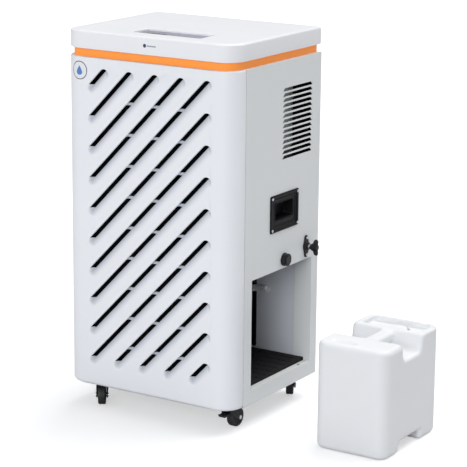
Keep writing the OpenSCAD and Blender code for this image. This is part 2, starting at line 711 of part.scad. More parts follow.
// ---------- handles, screws, latch ----------
module handle(side) color([0.07, 0.07, 0.075]) translate([0, handle_y, handle_z])
  mirror([side > 0 ? 0 : 1, 0, 0]) difference() {
    union() {
      push_x(half_w + 0.1, half_w + handle_proud) rounded_rect(134, 94, 3);
      box(half_w - 30, half_w + 0.2, -53, 53, -34, 34);
    }
    // hand pocket with sloping lips
    push_y(-42, 44) polygon([[half_w + 4, 25], [half_w + 1.2, 23], [half_w - 6, 20],
      [half_w - 6, 30], [half_w - 27, 30], [half_w - 27, -20], [half_w - 8, -20],
      [half_w + 1.2, -27], [half_w + 4, -29]]);
    // sunken face, leaving a boss around each screw
    difference() {
      box(half_w + 2, half_w + 4, -60, 60, -42, 42);
      for (p = handle_screws) translate([0, p[0], p[1]]) cyl_x(6, half_w + 1, half_w + 5);
    }
    for (p = handle_screws) translate([0, p[0], p[1]]) cyl_x(screw_hole_r, half_w - 1, half_w + 4);
  }
module handle_right() handle(1);
module handle_left() handle(-1);
// pan head screw with a cross recess, head on +x
module screw(length) difference() {
  union() {
    cyl_x(3.6, 0.1, screw_head);
    cyl_x(2, -length, 0.2);
  }
  box(1, 2.4, -0.5, 0.5, -2.2, 2.2);
  box(1, 2.4, -2.2, 2.2, -0.5, 0.5);
}
module panel_screws() color([0.75, 0.76, 0.78]) {
  face_x = half_w + handle_proud;
  for (p = handle_screws) {
    translate([face_x, handle_y + p[0], handle_z + p[1]]) screw(9);
    translate([-face_x, handle_y + p[0], handle_z + p[1]]) rotate([0, 0, 180]) screw(9);
  }
  for (z = latch_screws) translate([half_w + 3.5, latch_y, latch_z + z]) screw(9);
  for (p = rear_screws) translate([p[0], rear_y, p[1]]) rotate([0, 0, 90]) screw(6);
}
module latch_flange() color([0.08, 0.08, 0.085]) translate([0, latch_y, latch_z]) difference() {
  union() {
    push_x(half_w + 0.1, half_w + 3.5) {
      for (z = latch_screws) translate([0, z]) circle(7.5);
      circle(13.5);
      polygon([[-12.4, -5], [-7, -24.5], [7, -24.5], [12.4, -5],
        [12.4, 5], [7, 24.5], [-7, 24.5], [-12.4, 5]]);
    }
    cyl_x(10.5, half_w + 3, half_w + 9);
    cyl_x(6.1, half_w - 8, half_w + 1);
  }
  cyl_x(4.05, half_w - 20, half_w + 20);
  for (z = latch_screws) translate([0, 0, z]) cyl_x(screw_hole_r, half_w - 2, half_w + 5);
}
// wing knob, its shaft and the locking cam inside
module latch_knob() color([0.1, 0.1, 0.11]) translate([0, latch_y, latch_z]) union() {
  wing = 14.5;
  cyl_x(4, half_w - 14, half_w + 26);
  cyl_x(7, half_w + 14, half_w + 36);
  cyl_x(9.5, half_w + 20, half_w + 26);
  push_x(half_w + 20, half_w + 34) {
    for (z = [-wing, wing]) translate([0, z]) circle(5);
    polygon([[-3, 0], [-5, wing], [5, wing], [3, 0], [5, -wing], [-5, -wing]]);
  }
  box(half_w - 13, half_w - 9.5, -6, 6, -24, 5);
}

// ---------- casters ----------
// Drawn with the swivel axis on z and the wheel trailing towards +x.
fork_half = 14.5; // half width over the cheeks
cheek = 2.5;
fork_top = 58.3;
brake_x = -9;
brake_z = wheel_r + 17;

module at_caster(i) {
  translate([casters[i][0], casters[i][1], 0]) rotate([0, 0, casters[i][2]]) children();
}
module caster_holes(z0, z1) for (p = corners(17, 13)) translate(p) cyl_z(2.6, z0, z1);
// mounting plate with pivot pin, pin head and bearing ring
module plate() difference() {
  union() {
    push_z(60.7, 63) rounded_rect(46, 38, 4);
    cyl_z(4, 53.4, 60.8);
    cyl_z(6.6, 52.6, 54.9);
    difference() { cyl_z(15, 58.6, 60.8); cyl_z(12.6, 58, 60.7); }
  }
  caster_holes(60, 64);
}
module caster_plates() color([0.55, 0.56, 0.58])
  for (c = casters) translate([c[0], c[1], 0]) plate();
module fork(i) color([0.08, 0.08, 0.09]) at_caster(i) difference() {
  union() {
    cyl_z(17.5, 55.2, 58.4);
    for (y = [-fork_half, fork_half - cheek]) push_y(y, y + cheek)
      polygon([[-15, fork_top], [-15, 50], [-8, 38], [14, 17], [caster_trail + 6, 15],
        [caster_trail + 10, 22], [caster_trail + 8, 34], [22, 50], [15, fork_top]]);
    // hood bridging the two cheeks in front of the wheel
    push_y(-fork_half, fork_half) polygon([[-15, fork_top], [-15, 50], [-13, 50], [-13, fork_top]]);
  }
  cyl_z(4.2, 50, 62);
  translate([caster_trail, 0, wheel_r]) cross_cyl(axle_r + 0.02, 40);
  translate([brake_x, 0, brake_z]) cross_cyl(2.05, 40);
}
module wheel(i) color([0.05, 0.05, 0.055]) at_caster(i)
  translate([caster_trail, 0, wheel_r]) rotate([90, 0, 0]) difference() {
    hub_r = 9.5;
    half_tread = 9.5;
    union() {
      rotate_extrude($fn = 72) polygon([[9, -half_tread], [wheel_r - 2.5, -half_tread],
        [wheel_r - 0.6, -8], [wheel_r, -5.5], [wheel_r, 5.5], [wheel_r - 0.6, 8],
        [wheel_r - 2.5, half_tread], [9, half_tread]]);
      cylinder(r = hub_r, h = 22.6, center = true);
    }
    cylinder(r = axle_r + 0.12, h = 40, center = true);
    // ring sunk in each face around the hub
    for (face = [-1, 1]) translate([0, 0, face * half_tread]) difference() {
      cylinder(r = 18.5, h = 5, center = true);
      cylinder(r = hub_r, h = 9, center = true);
    }
  }
module axle(i) color([0.6, 0.6, 0.62]) at_caster(i)
  translate([caster_trail, 0, wheel_r]) rotate([90, 0, 0]) {
    cylinder(r = axle_r, h = 29.4, center = true);
    for (end = [-15.6, 15.6])
      translate([0, 0, end]) cylinder(r = axle_r + 2.2, h = 1.9, center = true);
  }
// brake lever on the side opposite the wheel, with grooves across its top
module pedal(i) color([0.1, 0.1, 0.11]) at_caster(i) translate([brake_x, 0, brake_z]) difference() {
  union() {
    cross_cyl(2, 28.6);
    cross_cyl(4.2, 22);
    push_y(-11, 11) polygon([[-1, 4], [-11, 3.5], [-26, 0], [-28, -3.5],
      [-24, -4.5], [-9, -1.5], [0, -4.2]]);
  }
  for (k = [0:3]) box(-25 + 4 * k, -23.5 + 4 * k, -9, 9, 0.9 + k, 6);
}
module caster_fork_fl() fork(front_left);
module caster_fork_fr() fork(front_right);
module caster_fork_rl() fork(rear_left);
module caster_fork_rr() fork(rear_right);
module caster_wheel_fl() wheel(front_left);
module caster_wheel_fr() wheel(front_right);
module caster_wheel_rl() wheel(rear_left);
module caster_wheel_rr() wheel(rear_right);
module caster_axle_fl() axle(front_left);
module caster_axle_fr() axle(front_right);
module caster_axle_rl() axle(rear_left);
module caster_axle_rr() axle(rear_right);
module brake_pedal_fl() pedal(front_left);
module brake_pedal_fr() pedal(front_right);

// ---------- water tank ----------
neck_y = 92; // filler neck, behind the tank centre
grip = [-30, -112, 0]; // grip recess on the front lobe

// side profile in y-z, with the carrying trough on top and the stacking notch below
module tank_side(inset) difference() {
  grown = 2 * inset;
  translate([0, tank_h / 2]) rounded_rect(tank_l - grown, tank_h - grown, 22 - inset);
  translate([-5, tank_h + 4]) rounded_rect(92 + grown, 92 + grown, 14 + inset);
  translate([-8, 0]) rounded_rect(112 + grown, 60 + grown, 12 + inset);
}
module tank_form(inset) intersection() {
  push_x(-tank_w / 2 + inset, tank_w / 2 - inset) tank_side(inset);
  linear_extrude(tank_h) rounded_rect(tank_w - 2 * inset, tank_l - 2 * inset, 26 - inset);
}
// plan of the sunken pocket on the rear lobe
module pocket_plan(grow) {
  translate([0, 95]) rounded_rect(tank_w - 36 + 2 * grow, 66 + 2 * grow, 13 + grow);
}
module water_tank() color([0.95, 0.96, 0.97]) translate([tank_x, tank_y, 0]) difference() {
  union() {
    difference() {
      tank_form(0);
      tank_form(3);
    }
    // handle bar bridging the trough
    push_y(-58, 48) translate([0, tank_h - 19]) rounded_rect(34, 26, 10);
    // floor and wall of the rear pocket, with the filler neck below it
    intersection() {
      push_z(tank_h - 17, tank_h - 1) pocket_plan(3);
      tank_form(0);
    }
    translate([0, neck_y, 0]) cyl_z(37, tank_h - 32, tank_h - 15);
    // wall of the grip recess
    translate(grip) box(-38, 38, -12, 12, tank_h - 11, tank_h - 2);
  }
  push_z(tank_h - 14, tank_h + 6) pocket_plan(0);
  // ring sunk around the neck, then the neck bore
  translate([0, neck_y, 0]) {
    difference() { cyl_z(34, tank_h - 29, tank_h + 4); cyl_z(24, tank_h - 40, tank_h + 6); }
    cyl_z(24.01, tank_h - 17, tank_h + 4);
    cyl_z(19, tank_h - 40, tank_h + 6);
  }
  translate(grip) translate([0, 0, tank_h + 2])
    rotate([0, 90, 0]) cylinder(r = 9, h = 68, center = true);
}
// screw cap with eighteen grip ridges
module tank_cap() color([0.93, 0.94, 0.95]) translate([tank_x, tank_y + neck_y, tank_h - 10])
  difference() {
    union() {
      cyl_z(27.5, -17.8, -1.2);
      for (k = [0:17]) rotate([0, 0, 20 * k]) translate([27.2, 0, 0]) cyl_z(1.5, -17, -2);
    }
    cyl_z(24.3, -19, -5);
  }

// ---------- mains lead ----------
// half turn of cord standing in the x-z plane, arching up, or down when turned by 180
module cord_arc(radius, turn = 0) {
  rotate([90, 0, 0]) rotate([0, 0, turn])
    rotate_extrude(angle = 180, $fn = 48) translate([radius, 0]) circle(3.6, $fn = 24);
}
// oblong flat spiral of cord around the hooks
module cord_spiral(turns, inner_r, spacing) {
  half = 62; // half length of the straight runs
  translate([-110, rear_y + 8, 350]) for (k = [0:turns - 1]) {
    radius = inner_r + spacing * k;
    translate([0, 0, half]) cord_arc(radius);
    translate([-radius, 0, 0]) cyl_z(3.6, -half, half, $fn = 48);
    translate([spacing / 2, 0, -half]) cord_arc(radius + spacing / 2, 180);
    if (k < turns - 1) translate([radius + spacing, 0, 0]) cyl_z(3.6, -half, half);
  }
}
module power_cord() color([0.07, 0.07, 0.075]) union() {
  // strain relief through the rear panel
  translate([cord_x, 0, cord_z]) {
    cyl_y(9, rear_y - 12, rear_y + 2);
    cyl_y(12, rear_y - 1.6, rear_y + 3);
    cyl_y(12, rear_y - 8, rear_y - 3.4);
    cyl_y(6, rear_y + 2, rear_y + 12);
  }
  cord_spiral(turns = 3, inner_r = 30, spacing = 7.9);
  // from the strain relief up to the outer turn
  tube_path([[cord_x, rear_y + 10.5, cord_z], [cord_x, rear_y + 11, 160],
    [-120, rear_y + 8, 205], [-52, rear_y + 8, 235], [-56.3, rear_y + 8, 289]], 3.4, 0.6);
  // plug on the end of the inner turn
  tube_path([[-80, rear_y + 8, 413], [-82, rear_y + 9, 400],
    [-104, rear_y + 10, 386], [-104, rear_y + 10, 370]], 3.4, 0.6);
  translate([-104, rear_y + 10, 0]) {
    cyl_z(6, 364, 378);
    cyl_z(9.8, 338, 366);
    for (x = [-5.5, 5.5]) translate([x, 0, 0]) cyl_z(2.4, 320, 339);
  }
}

module set_down() translate([-set_x, -set_y, 0]) children();

set_down() front_panel();
set_down() side_panel_right();
set_down() side_panel_left();
set_down() rear_panel();
set_down() base_pan();
set_down() top_plate();
set_down() accent_band();
set_down() top_lid();
set_down() control_panel();
set_down() display_window();
set_down() key_power();
set_down() key_mode();
set_down() key_up();
set_down() key_down();
set_down() control_board();
set_down() mid_shelf();
set_down() bay_liner();
set_down() bay_wall_rear();
set_down() bay_mat();
set_down() filter_frame();
set_down() filter_mesh();
set_down() evaporator_coil();
set_down() condenser_coil();
set_down() drip_tray();
set_down() drain_hose();
set_down() drain_port();
set_down() drain_cap();
set_down() compressor();
set_down() compressor_grommets();
set_down() refrigerant_pipes();
set_down() fan_shroud();
set_down() fan_impeller();
set_down() fan_motor();
set_down() electrical_box();
set_down() electrical_cover();
set_down() tank_switch();
set_down() switch_lever();
set_down() handle_right();
set_down() handle_left();
set_down() panel_screws();
set_down() latch_flange();
set_down() latch_knob();
set_down() caster_plates();
set_down() caster_fork_fl();
set_down() caster_fork_fr();
set_down() caster_fork_rl();
set_down() caster_fork_rr();
set_down() caster_wheel_fl();
set_down() caster_wheel_fr();
set_down() caster_wheel_rl();
set_down() caster_wheel_rr();
set_down() caster_axle_fl();
set_down() caster_axle_fr();
set_down() caster_axle_rl();
set_down() caster_axle_rr();
set_down() brake_pedal_fl();
set_down() brake_pedal_fr();
set_down() water_tank();
set_down() tank_cap();
set_down() power_cord();
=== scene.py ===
"""Dehumidifier on four casters: a white cabinet with lid, slotted front and water tank.

x runs across the cabinet, y from its front (-y) to its back, and z = 0 is the floor. Shapes are
laid out in mm about the middle of the cabinet, and SHIFT moves them to its place in the frame.
"""

import bpy
import json
import math
import numpy as np
from mathutils import Vector, Matrix
from mathutils.geometry import delaunay_2d_cdt


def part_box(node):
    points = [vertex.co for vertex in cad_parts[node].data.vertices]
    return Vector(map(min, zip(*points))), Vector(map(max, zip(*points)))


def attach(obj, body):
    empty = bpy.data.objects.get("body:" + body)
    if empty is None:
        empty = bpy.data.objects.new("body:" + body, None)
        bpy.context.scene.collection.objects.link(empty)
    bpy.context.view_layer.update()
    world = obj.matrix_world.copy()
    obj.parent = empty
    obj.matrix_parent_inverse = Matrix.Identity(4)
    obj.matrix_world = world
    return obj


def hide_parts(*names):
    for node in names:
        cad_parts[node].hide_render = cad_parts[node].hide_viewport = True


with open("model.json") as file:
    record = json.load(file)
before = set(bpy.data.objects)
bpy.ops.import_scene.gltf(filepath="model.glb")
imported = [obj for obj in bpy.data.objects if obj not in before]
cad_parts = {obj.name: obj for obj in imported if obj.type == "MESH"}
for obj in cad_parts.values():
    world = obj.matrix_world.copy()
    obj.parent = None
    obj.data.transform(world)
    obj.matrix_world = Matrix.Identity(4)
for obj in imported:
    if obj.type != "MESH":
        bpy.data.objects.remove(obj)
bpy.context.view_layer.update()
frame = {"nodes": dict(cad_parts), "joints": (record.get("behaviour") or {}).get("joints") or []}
NODES = frame["nodes"]
SCENE = bpy.context.scene
MM = 0.001
QUARTER = math.pi / 2

FRONT_REACH = 206.0  # from the layout's origin forward to the front face
SHIFT = np.array([
    round((float(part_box("side_panel_left")[0][0])
           + float(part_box("side_panel_right")[1][0])) * 500.0, 3),
    round(float(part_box("front_panel")[0][1]) * 1000.0 + FRONT_REACH, 3),
    0.0])


def mm_box(piece):
    """Low and high corners of a CAD piece, in layout mm."""
    low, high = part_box(piece)
    return np.array(low) * 1000.0 - SHIFT, np.array(high) * 1000.0 - SHIFT


# ------------------------------------------------------------------ cabinet sizes
FRONT_LOW, FRONT_HIGH = mm_box("front_panel")
HALF_WIDTH = FRONT_HIGH[0]
FRONT_Y = FRONT_LOW[1]
FRONT_BOTTOM, FRONT_TOP = FRONT_LOW[2], FRONT_HIGH[2]
SEAM_Y = FRONT_HIGH[1]  # rear edge of the front panel, on the cabinet's sides
LID_LOW, LID_HIGH = mm_box("top_lid")
LID_BOTTOM, LID_TOP = LID_LOW[2], LID_HIGH[2]
LID_BACK = LID_HIGH[1]
CORNER = 53.0  # plan radius of the two front corners
FLAT = HALF_WIDTH - CORNER  # half the straight run of the front
BEND = CORNER * QUARTER  # length round one front corner


# ------------------------------------------------------------------ shader nodes
def set_inputs(tree, node, values):
    """Link each socket given, and store each plain value."""
    for key, value in values.items():
        if isinstance(value, bpy.types.NodeSocket):
            tree.links.new(value, node.inputs[key])
        else:
            node.inputs[key].default_value = value


def new_node(tree, kind, inputs=None, **properties):
    # properties come first, because they decide which inputs a node offers
    node = tree.nodes.new(kind)
    for key, value in properties.items():
        setattr(node, key, value)
    set_inputs(tree, node, inputs or {})
    return node


def new_material(name):
    material = bpy.data.materials.new(name)
    material.use_nodes = True
    tree = material.node_tree
    return material, tree, tree.nodes["Principled BSDF"]


def opaque(colour):
    return (*colour, 1)


def ramp(tree, source, *stops):
    """Colour ramp of two stops: (position, colour or grey level)."""
    node = new_node(tree, "ShaderNodeValToRGB", {0: source})
    for element, (position, colour) in zip(node.color_ramp.elements, stops):
        element.position = position
        element.color = opaque(np.broadcast_to(colour, 3))
    return node.outputs["Color"]


def noise(tree, place, scale, detail=3.0, rough=0.55):
    inputs = {"Scale": scale, "Detail": detail, "Roughness": rough, "Vector": place}
    return new_node(tree, "ShaderNodeTexNoise", inputs).outputs["Fac"]


def object_place(tree, stretch=None):
    """Object coordinates, scaled per axis by stretch where it is given."""
    place = new_node(tree, "ShaderNodeTexCoord").outputs["Object"]
    if stretch is None:
        return place
    inputs = {"Scale": stretch, "Vector": place}
    return new_node(tree, "ShaderNodeMapping", inputs).outputs["Vector"]


def map_range(tree, source, **limits):
    """Keywords are input names with _ for the space, as To_Min."""
    inputs = {key.replace("_", " "): value for key, value in limits.items()}
    inputs["Value"] = source
    return new_node(tree, "ShaderNodeMapRange", inputs).outputs["Result"]


def mix(tree, factor, first, second, kind="RGBA", blend="MIX"):
    inputs = {"Factor": factor, "A": first, "B": second}
    node = new_node(tree, "ShaderNodeMix", inputs, data_type=kind, blend_type=blend)
    return node.outputs["Result"]


def compute(tree, operation, *values):
    inputs = dict(enumerate(values))
    return new_node(tree, "ShaderNodeMath", inputs, operation=operation).outputs[0]


def relief(tree, shader, layers, edge=0.0):
    """Bump layers of (height, strength, distance in m), over edges rounded by edge in m."""
    normal = None
    if edge > 0:
        bevel = new_node(tree, "ShaderNodeBevel", {"Radius": edge}, samples=6)
        normal = bevel.outputs["Normal"]
    for height, strength, distance in layers:
        inputs = {"Strength": strength, "Distance": distance, "Height": height}
        if normal is not None:
            inputs["Normal"] = normal
        normal = new_node(tree, "ShaderNodeBump", inputs).outputs["Normal"]
    set_inputs(tree, shader, {"Normal": normal})


# ------------------------------------------------------------------ materials
def plastic(name, colour, rough=0.42, vary=0.03, grain=1400.0, bump=0.12, edge=0.0, spec=0.5,
            wear=0.0, coat=0.0, scatter=0.0, wave=0.0):
    """Moulded surface.

    vary: depth of the colour clouds; grain, bump: scale and strength of the fine grain;
    wear: strength of the scuffs; scatter: subsurface weight; wave: broad unevenness.
    """
    material, tree, shader = new_material(name)
    place = object_place(tree)
    colour = np.array(colour)
    paint = ramp(tree, noise(tree, place, scale=5.0, detail=4.0),
                 (0.3, colour * (1 - vary)),
                 (0.7, np.minimum(colour * (1 + vary * 0.6), 1.0)))
    if wear > 0:
        # sparse scuffs: darker on pale plastic, paler on dark
        marks = noise(tree, place, scale=38.0, detail=6.0, rough=0.7)
        marks = ramp(tree, marks, (0.60, 0.0), (0.72, 1.0))
        pale = colour.mean() > 0.4
        scuff = colour * 0.75 if pale else np.minimum(colour * 2.2 + 0.05, 1)
        paint = mix(tree, compute(tree, "MULTIPLY", marks, wear), paint, opaque(scuff))
    gloss = map_range(tree, noise(tree, place, scale=60.0),
                      To_Min=max(rough - 0.07, 0.02), To_Max=min(rough + 0.07, 1.0))
    set_inputs(tree, shader, {
        "Base Color": paint, "Roughness": gloss, "Specular IOR Level": spec,
        "Coat Weight": coat, "Coat Roughness": 0.12})
    if scatter > 0:
        set_inputs(tree, shader, {
            "Subsurface Weight": scatter, "Subsurface Radius": (0.012, 0.012, 0.014),
            "Subsurface Scale": 0.6})
    layers = [(noise(tree, place, scale=grain, detail=2.0), bump, 0.0004)]
    if wave > 0:
        layers.append((noise(tree, place, scale=9.0, detail=1.0), wave, 0.006))
    relief(tree, shader, layers, edge)
    return material


def powder(name, colour, rough, edge=0.0):
    """Powder coat: orange peel and a faint speckle."""
    material, tree, shader = new_material(name)
    place = object_place(tree)
    colour = np.array(colour)
    clouds = ramp(tree, noise(tree, place, scale=3.0),
                  (0.3, colour * 0.975), (0.7, np.minimum(colour * 1.015, 1)))
    speckle = ramp(tree, noise(tree, place, scale=2400.0, detail=1.0),
                   (0.36, colour * 0.90), (0.46, np.minimum(colour + 0.02, 1)))
    set_inputs(tree, shader, {
        "Base Color": mix(tree, 0.35, clouds, speckle),
        "Roughness": rough, "Specular IOR Level": 0.5})
    peel = noise(tree, place, scale=420.0, detail=2.0)
    wave = noise(tree, place, scale=4.0, detail=1.0)
    relief(tree, shader, [(peel, 0.10, 0.0006), (wave, 0.05, 0.006)], edge)
    return material


def metal(name, colour, rough, stretch=None, spangle=0.0, edge=0.0, tarnish=0.0):
    """Bare metal; stretch draws the grain out, spangle and tarnish are strengths."""
    material, tree, shader = new_material(name)
    colour = np.array(colour)
    grain = noise(tree, object_place(tree, stretch), scale=90.0, detail=5.0, rough=0.6)
    paint = ramp(tree, grain, (0.3, colour * 0.82), (0.7, np.minimum(colour * 1.08, 1)))
    if spangle > 0:
        crystals = new_node(tree, "ShaderNodeTexVoronoi",
                            {"Scale": 140.0, "Vector": object_place(tree)})
        channels = new_node(tree, "ShaderNodeSeparateColor", {0: crystals.outputs["Color"]})
        facets = ramp(tree, channels.outputs[0],
                      (0.0, colour * 0.72), (1.0, np.minimum(colour * 1.15, 1)))
        paint = mix(tree, spangle, paint, facets)
    if tarnish > 0:
        stains = noise(tree, object_place(tree), scale=22.0, detail=6.0, rough=0.65)
        stains = ramp(tree, stains, (0.45, 0.0), (0.75, tarnish))
        paint = mix(tree, stains, paint, opaque(colour * np.array([0.45, 0.36, 0.3])))
    gloss = map_range(tree, grain, To_Min=max(rough - 0.1, 0.05), To_Max=rough + 0.12)
    set_inputs(tree, shader, {"Metallic": 1.0, "Base Color": paint, "Roughness": gloss})
    relief(tree, shader, [(grain, 0.12, 0.0003)], edge)
    return material


def paint_hollow_shade(material, depth, shade):
    """Painted shade: darken the colour towards shade with depth (m) behind the flat of the front.
    """
    skin_y = (FRONT_Y + SHIFT[1]) * MM
    clear = 0.0003  # depth that stays unshaded
    fade = (0.186, 0.196)  # the shading fades out between these distances from the middle
    tree = material.node_tree
    shader = tree.nodes["Principled BSDF"]
    paint = shader.inputs["Base Color"].links[0].from_socket
    position = new_node(tree, "ShaderNodeNewGeometry").outputs["Position"]
    place = new_node(tree, "ShaderNodeSeparateXYZ", {0: position}).outputs
    sunk = map_range(tree, place["Y"], From_Min=skin_y + clear, From_Max=skin_y + depth)
    off_middle = compute(tree, "SUBTRACT", place["X"], SHIFT[0] * MM)
    on_flat = map_range(tree, compute(tree, "ABSOLUTE", off_middle),
                        From_Min=fade[0], From_Max=fade[1], To_Min=1.0, To_Max=0.0)
    factor = compute(tree, "MULTIPLY", sunk, on_flat)
    shaded = mix(tree, factor, paint, opaque(shade), blend="MULTIPLY")
    set_inputs(tree, shader, {"Base Color": shaded})


WHITE_FINISH = dict(vary=0.012, grain=1600, bump=0.06, spec=0.45)
WHITE_MOULD = plastic("white_moulding", (0.86, 0.875, 0.91), rough=0.38, **WHITE_FINISH)
# painted shade: the groove scoops darken with their depth
paint_hollow_shade(WHITE_MOULD, depth=0.0075, shade=(0.58, 0.60, 0.64))
WHITE_LID = plastic("white_lid", (0.88, 0.89, 0.915), rough=0.36, **WHITE_FINISH)
WHITE_STEEL = powder("white_steel", (0.79, 0.81, 0.815), rough=0.44, edge=0.0006)
# painted light: a paler base than the white steel brightens the shaded rear wall of the bay
WALL_STEEL = powder("bay_wall_steel", (0.84, 0.87, 0.94), rough=0.5)
ORANGE = plastic("orange_band", (1.0, 0.32, 0.05), rough=0.4, vary=0.05, grain=1300, bump=0.06,
                 spec=0.4, edge=0.0005)
# painted light: a faint orange glow brightens the band in the shade under the lid's overhang
set_inputs(ORANGE.node_tree, ORANGE.node_tree.nodes["Principled BSDF"],
           {"Emission Color": (1.0, 0.30, 0.04, 1), "Emission Strength": 0.16})
PANEL_GREY = plastic("panel_grey", (0.29, 0.30, 0.37), rough=0.5, vary=0.05, grain=1500,
                     bump=0.15, edge=0.0003)
KEY_FINISH = dict(rough=0.45, grain=1800, bump=0.1, edge=0.0004, wear=0.15)
KEY_GREY = plastic("key_grey", (0.38, 0.39, 0.45), vary=0.04, **KEY_FINISH)
plastic("key_orange", (0.9, 0.22, 0.03), vary=0.06, **KEY_FINISH)  # kept in the file, on no piece
BLACK = plastic("black_plastic", (0.010, 0.010, 0.0115), rough=0.46, vary=0.3, grain=900,
                bump=0.35, edge=0.0005, wear=0.10, spec=0.3)
BLACK_HANDLE = plastic("black_handle", (0.007, 0.007, 0.0085), vary=0.25, grain=1100,
                       bump=0.25, wear=0.05, spec=0.14)
BLACK_KNOB = plastic("black_knob", (0.012, 0.0115, 0.016), rough=0.34, vary=0.3, grain=1200,
                     bump=0.22, wear=0.12, spec=0.3)
BLACK_FILTER = plastic("black_filter", (0.006, 0.006, 0.007), rough=0.9, vary=0.3, grain=700,
                       bump=0.5, spec=0.1)
FOAM = plastic("black_foam", (0.010, 0.010, 0.011), rough=0.95, vary=0.4, grain=260, bump=0.8,
               spec=0.1)
LINER = plastic("black_liner", (0.008, 0.008, 0.0095), rough=0.6, spec=0.2, vary=0.3,
                grain=700, bump=0.3, edge=0.0004)
MAT_RUBBER = plastic("mat_rubber", (0.010, 0.0095, 0.011), rough=0.7, spec=0.25, vary=0.4,
                     grain=800, bump=0.5, edge=0.0004, wear=0.1)
RUBBER = plastic("soft_rubber", (0.02, 0.02, 0.021), rough=0.7, vary=0.3, grain=900, bump=0.4,
                 edge=0.0005, wear=0.1)
TYRE = plastic("tyre_rubber", (0.018, 0.018, 0.019), rough=0.55, vary=0.35, grain=700,
               bump=0.4, edge=0.0006, wear=0.35)
CABLE = plastic("cable_black", (0.018, 0.018, 0.019), rough=0.45, vary=0.25, grain=1200,
                bump=0.2)
HOSE = plastic("hose_milky", (0.55, 0.58, 0.6), rough=0.35, vary=0.06, grain=900, bump=0.1,
               scatter=0.3)
TANK = plastic("tank_hdpe", (0.82, 0.83, 0.845), rough=0.5, vary=0.012, grain=700, bump=0.08,
               spec=0.35, scatter=0.05, wave=0.10)
CAP = plastic("cap_white", (0.84, 0.85, 0.87), vary=0.02, grain=1200, bump=0.1, spec=0.4,
              edge=0.0004)
ZINC = metal("zinc_steel", (0.56, 0.59, 0.58), rough=0.42, spangle=0.55, edge=0.0004)
ALU = metal("coil_aluminium", (0.72, 0.74, 0.76), rough=0.36, stretch=(1, 1, 0.05))
COPPER = metal("copper", (0.72, 0.33, 0.17), rough=0.34, tarnish=0.6)
SCREW = metal("screw_steel", (0.78, 0.79, 0.81), rough=0.24, stretch=(1, 1, 1), edge=0.0003)
SHAFT = metal("shaft_steel", (0.55, 0.56, 0.56), rough=0.38, stretch=(0.1, 1, 1))
LEVER = plastic("lever_white", (0.90, 0.92, 0.94), rough=0.35, vary=0.04, grain=900, bump=0.1)
COMPRESSOR = plastic("compressor_black", (0.02, 0.02, 0.022), rough=0.36, vary=0.3, grain=500,
                     bump=0.3, wear=0.2, coat=0.3)
MOTOR = plastic("motor_grey", (0.11, 0.115, 0.125), rough=0.45, vary=0.15, grain=600, bump=0.3,
                edge=0.0006, wear=0.2)
BOARD = plastic("board_green", (0.02, 0.14, 0.06), rough=0.3, vary=0.2, grain=300, bump=0.2)
GLASS = plastic("display_dark", (0.012, 0.014, 0.018), rough=0.08, vary=0.2, grain=300,
                bump=0.0, spec=0.6, coat=1.0)
PRINT_FINISH = dict(rough=0.5, grain=900, bump=0.1)
INK_DARK = plastic("ink_dark", (0.035, 0.05, 0.12), vary=0.2, **PRINT_FINISH)
INK_BLUE = plastic("ink_blue", (0.10, 0.25, 0.62), vary=0.15, **PRINT_FINISH)
INK_GREY = plastic("ink_grey", (0.40, 0.42, 0.43), vary=0.15, **PRINT_FINISH)
PAPER = plastic("label_white", (0.84, 0.85, 0.87), vary=0.03, **PRINT_FINISH)

# material, CAD pieces that carry it; a piece not listed is black plastic
PIECES = [
    (WHITE_STEEL, "side_panel_right side_panel_left rear_panel"),
    (WALL_STEEL, "bay_wall_rear"),
    (ZINC, "top_plate base_pan mid_shelf fan_shroud electrical_box electrical_cover "
           "caster_plates"),
    (ORANGE, "accent_band"),
    (PANEL_GREY, "control_panel"),
    (GLASS, "display_window"),
    (KEY_GREY, "key_power key_mode key_up key_down"),
    (BOARD, "control_board"),
    (LINER, "bay_liner"),
    (MAT_RUBBER, "bay_mat"),
    (BLACK_FILTER, "filter_frame filter_mesh"),
    (BLACK_KNOB, "drain_cap latch_knob"),
    (LEVER, "tank_switch switch_lever"),
    (ALU, "evaporator_coil condenser_coil"),
    (COPPER, "refrigerant_pipes"),
    (COMPRESSOR, "compressor"),
    (MOTOR, "fan_motor"),
    (RUBBER, "compressor_grommets"),
    (HOSE, "drain_hose"),
    (CABLE, "power_cord"),
    (SCREW, "panel_screws caster_axle_fl caster_axle_fr caster_axle_rl caster_axle_rr"),
    (TYRE, "caster_wheel_fl caster_wheel_fr caster_wheel_rl caster_wheel_rr"),
    (CAP, "tank_cap"),
    (TANK, "water_tank"),
    (WHITE_MOULD, "front_panel"),
    (WHITE_LID, "top_lid"),
    (BLACK_HANDLE, "handle_right handle_left"),
]
LOOKS = {piece: material for material, pieces in PIECES for piece in pieces.split()}
for piece, node_object in NODES.items():
    node_object.data.materials.clear()
    node_object.data.materials.append(LOOKS.get(piece, BLACK))


# ------------------------------------------------------------------ mesh tools
def add_mesh(name, points, faces, body, materials, angle, stands_for=None, indices=None):
    """Smooth mesh from layout mm, sharp above angle degrees, riding on a body of the frame.

    stands_for is the CAD piece it replaces; indices give each face's material.
    """
    placed = np.asarray(points, float) * MM + SHIFT * MM
    mesh = bpy.data.meshes.new(name)
    mesh.from_pydata([tuple(p) for p in placed], [], [tuple(int(i) for i in f) for f in faces])
    mesh.validate()
    mesh.update()
    made = bpy.data.objects.new(name, mesh)
    SCENE.collection.objects.link(made)
    for material in materials:
        mesh.materials.append(material)
    if indices is not None:
        mesh.polygons.foreach_set("material_index", np.asarray(indices, np.int32))
    mesh.shade_smooth()
    mesh.set_sharp_from_angle(angle=math.radians(angle))
    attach(made, body)
    if stands_for:
        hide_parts(stands_for)


def join_parts(parts):
    """One (points, faces) out of several."""
    points, faces, count = [], [], 0
    for part_points, part_faces in parts:
        points.append(np.asarray(part_points, float))
        faces += [[i + count for i in face] for face in part_faces]
        count += len(part_points)
    return np.concatenate(points), faces


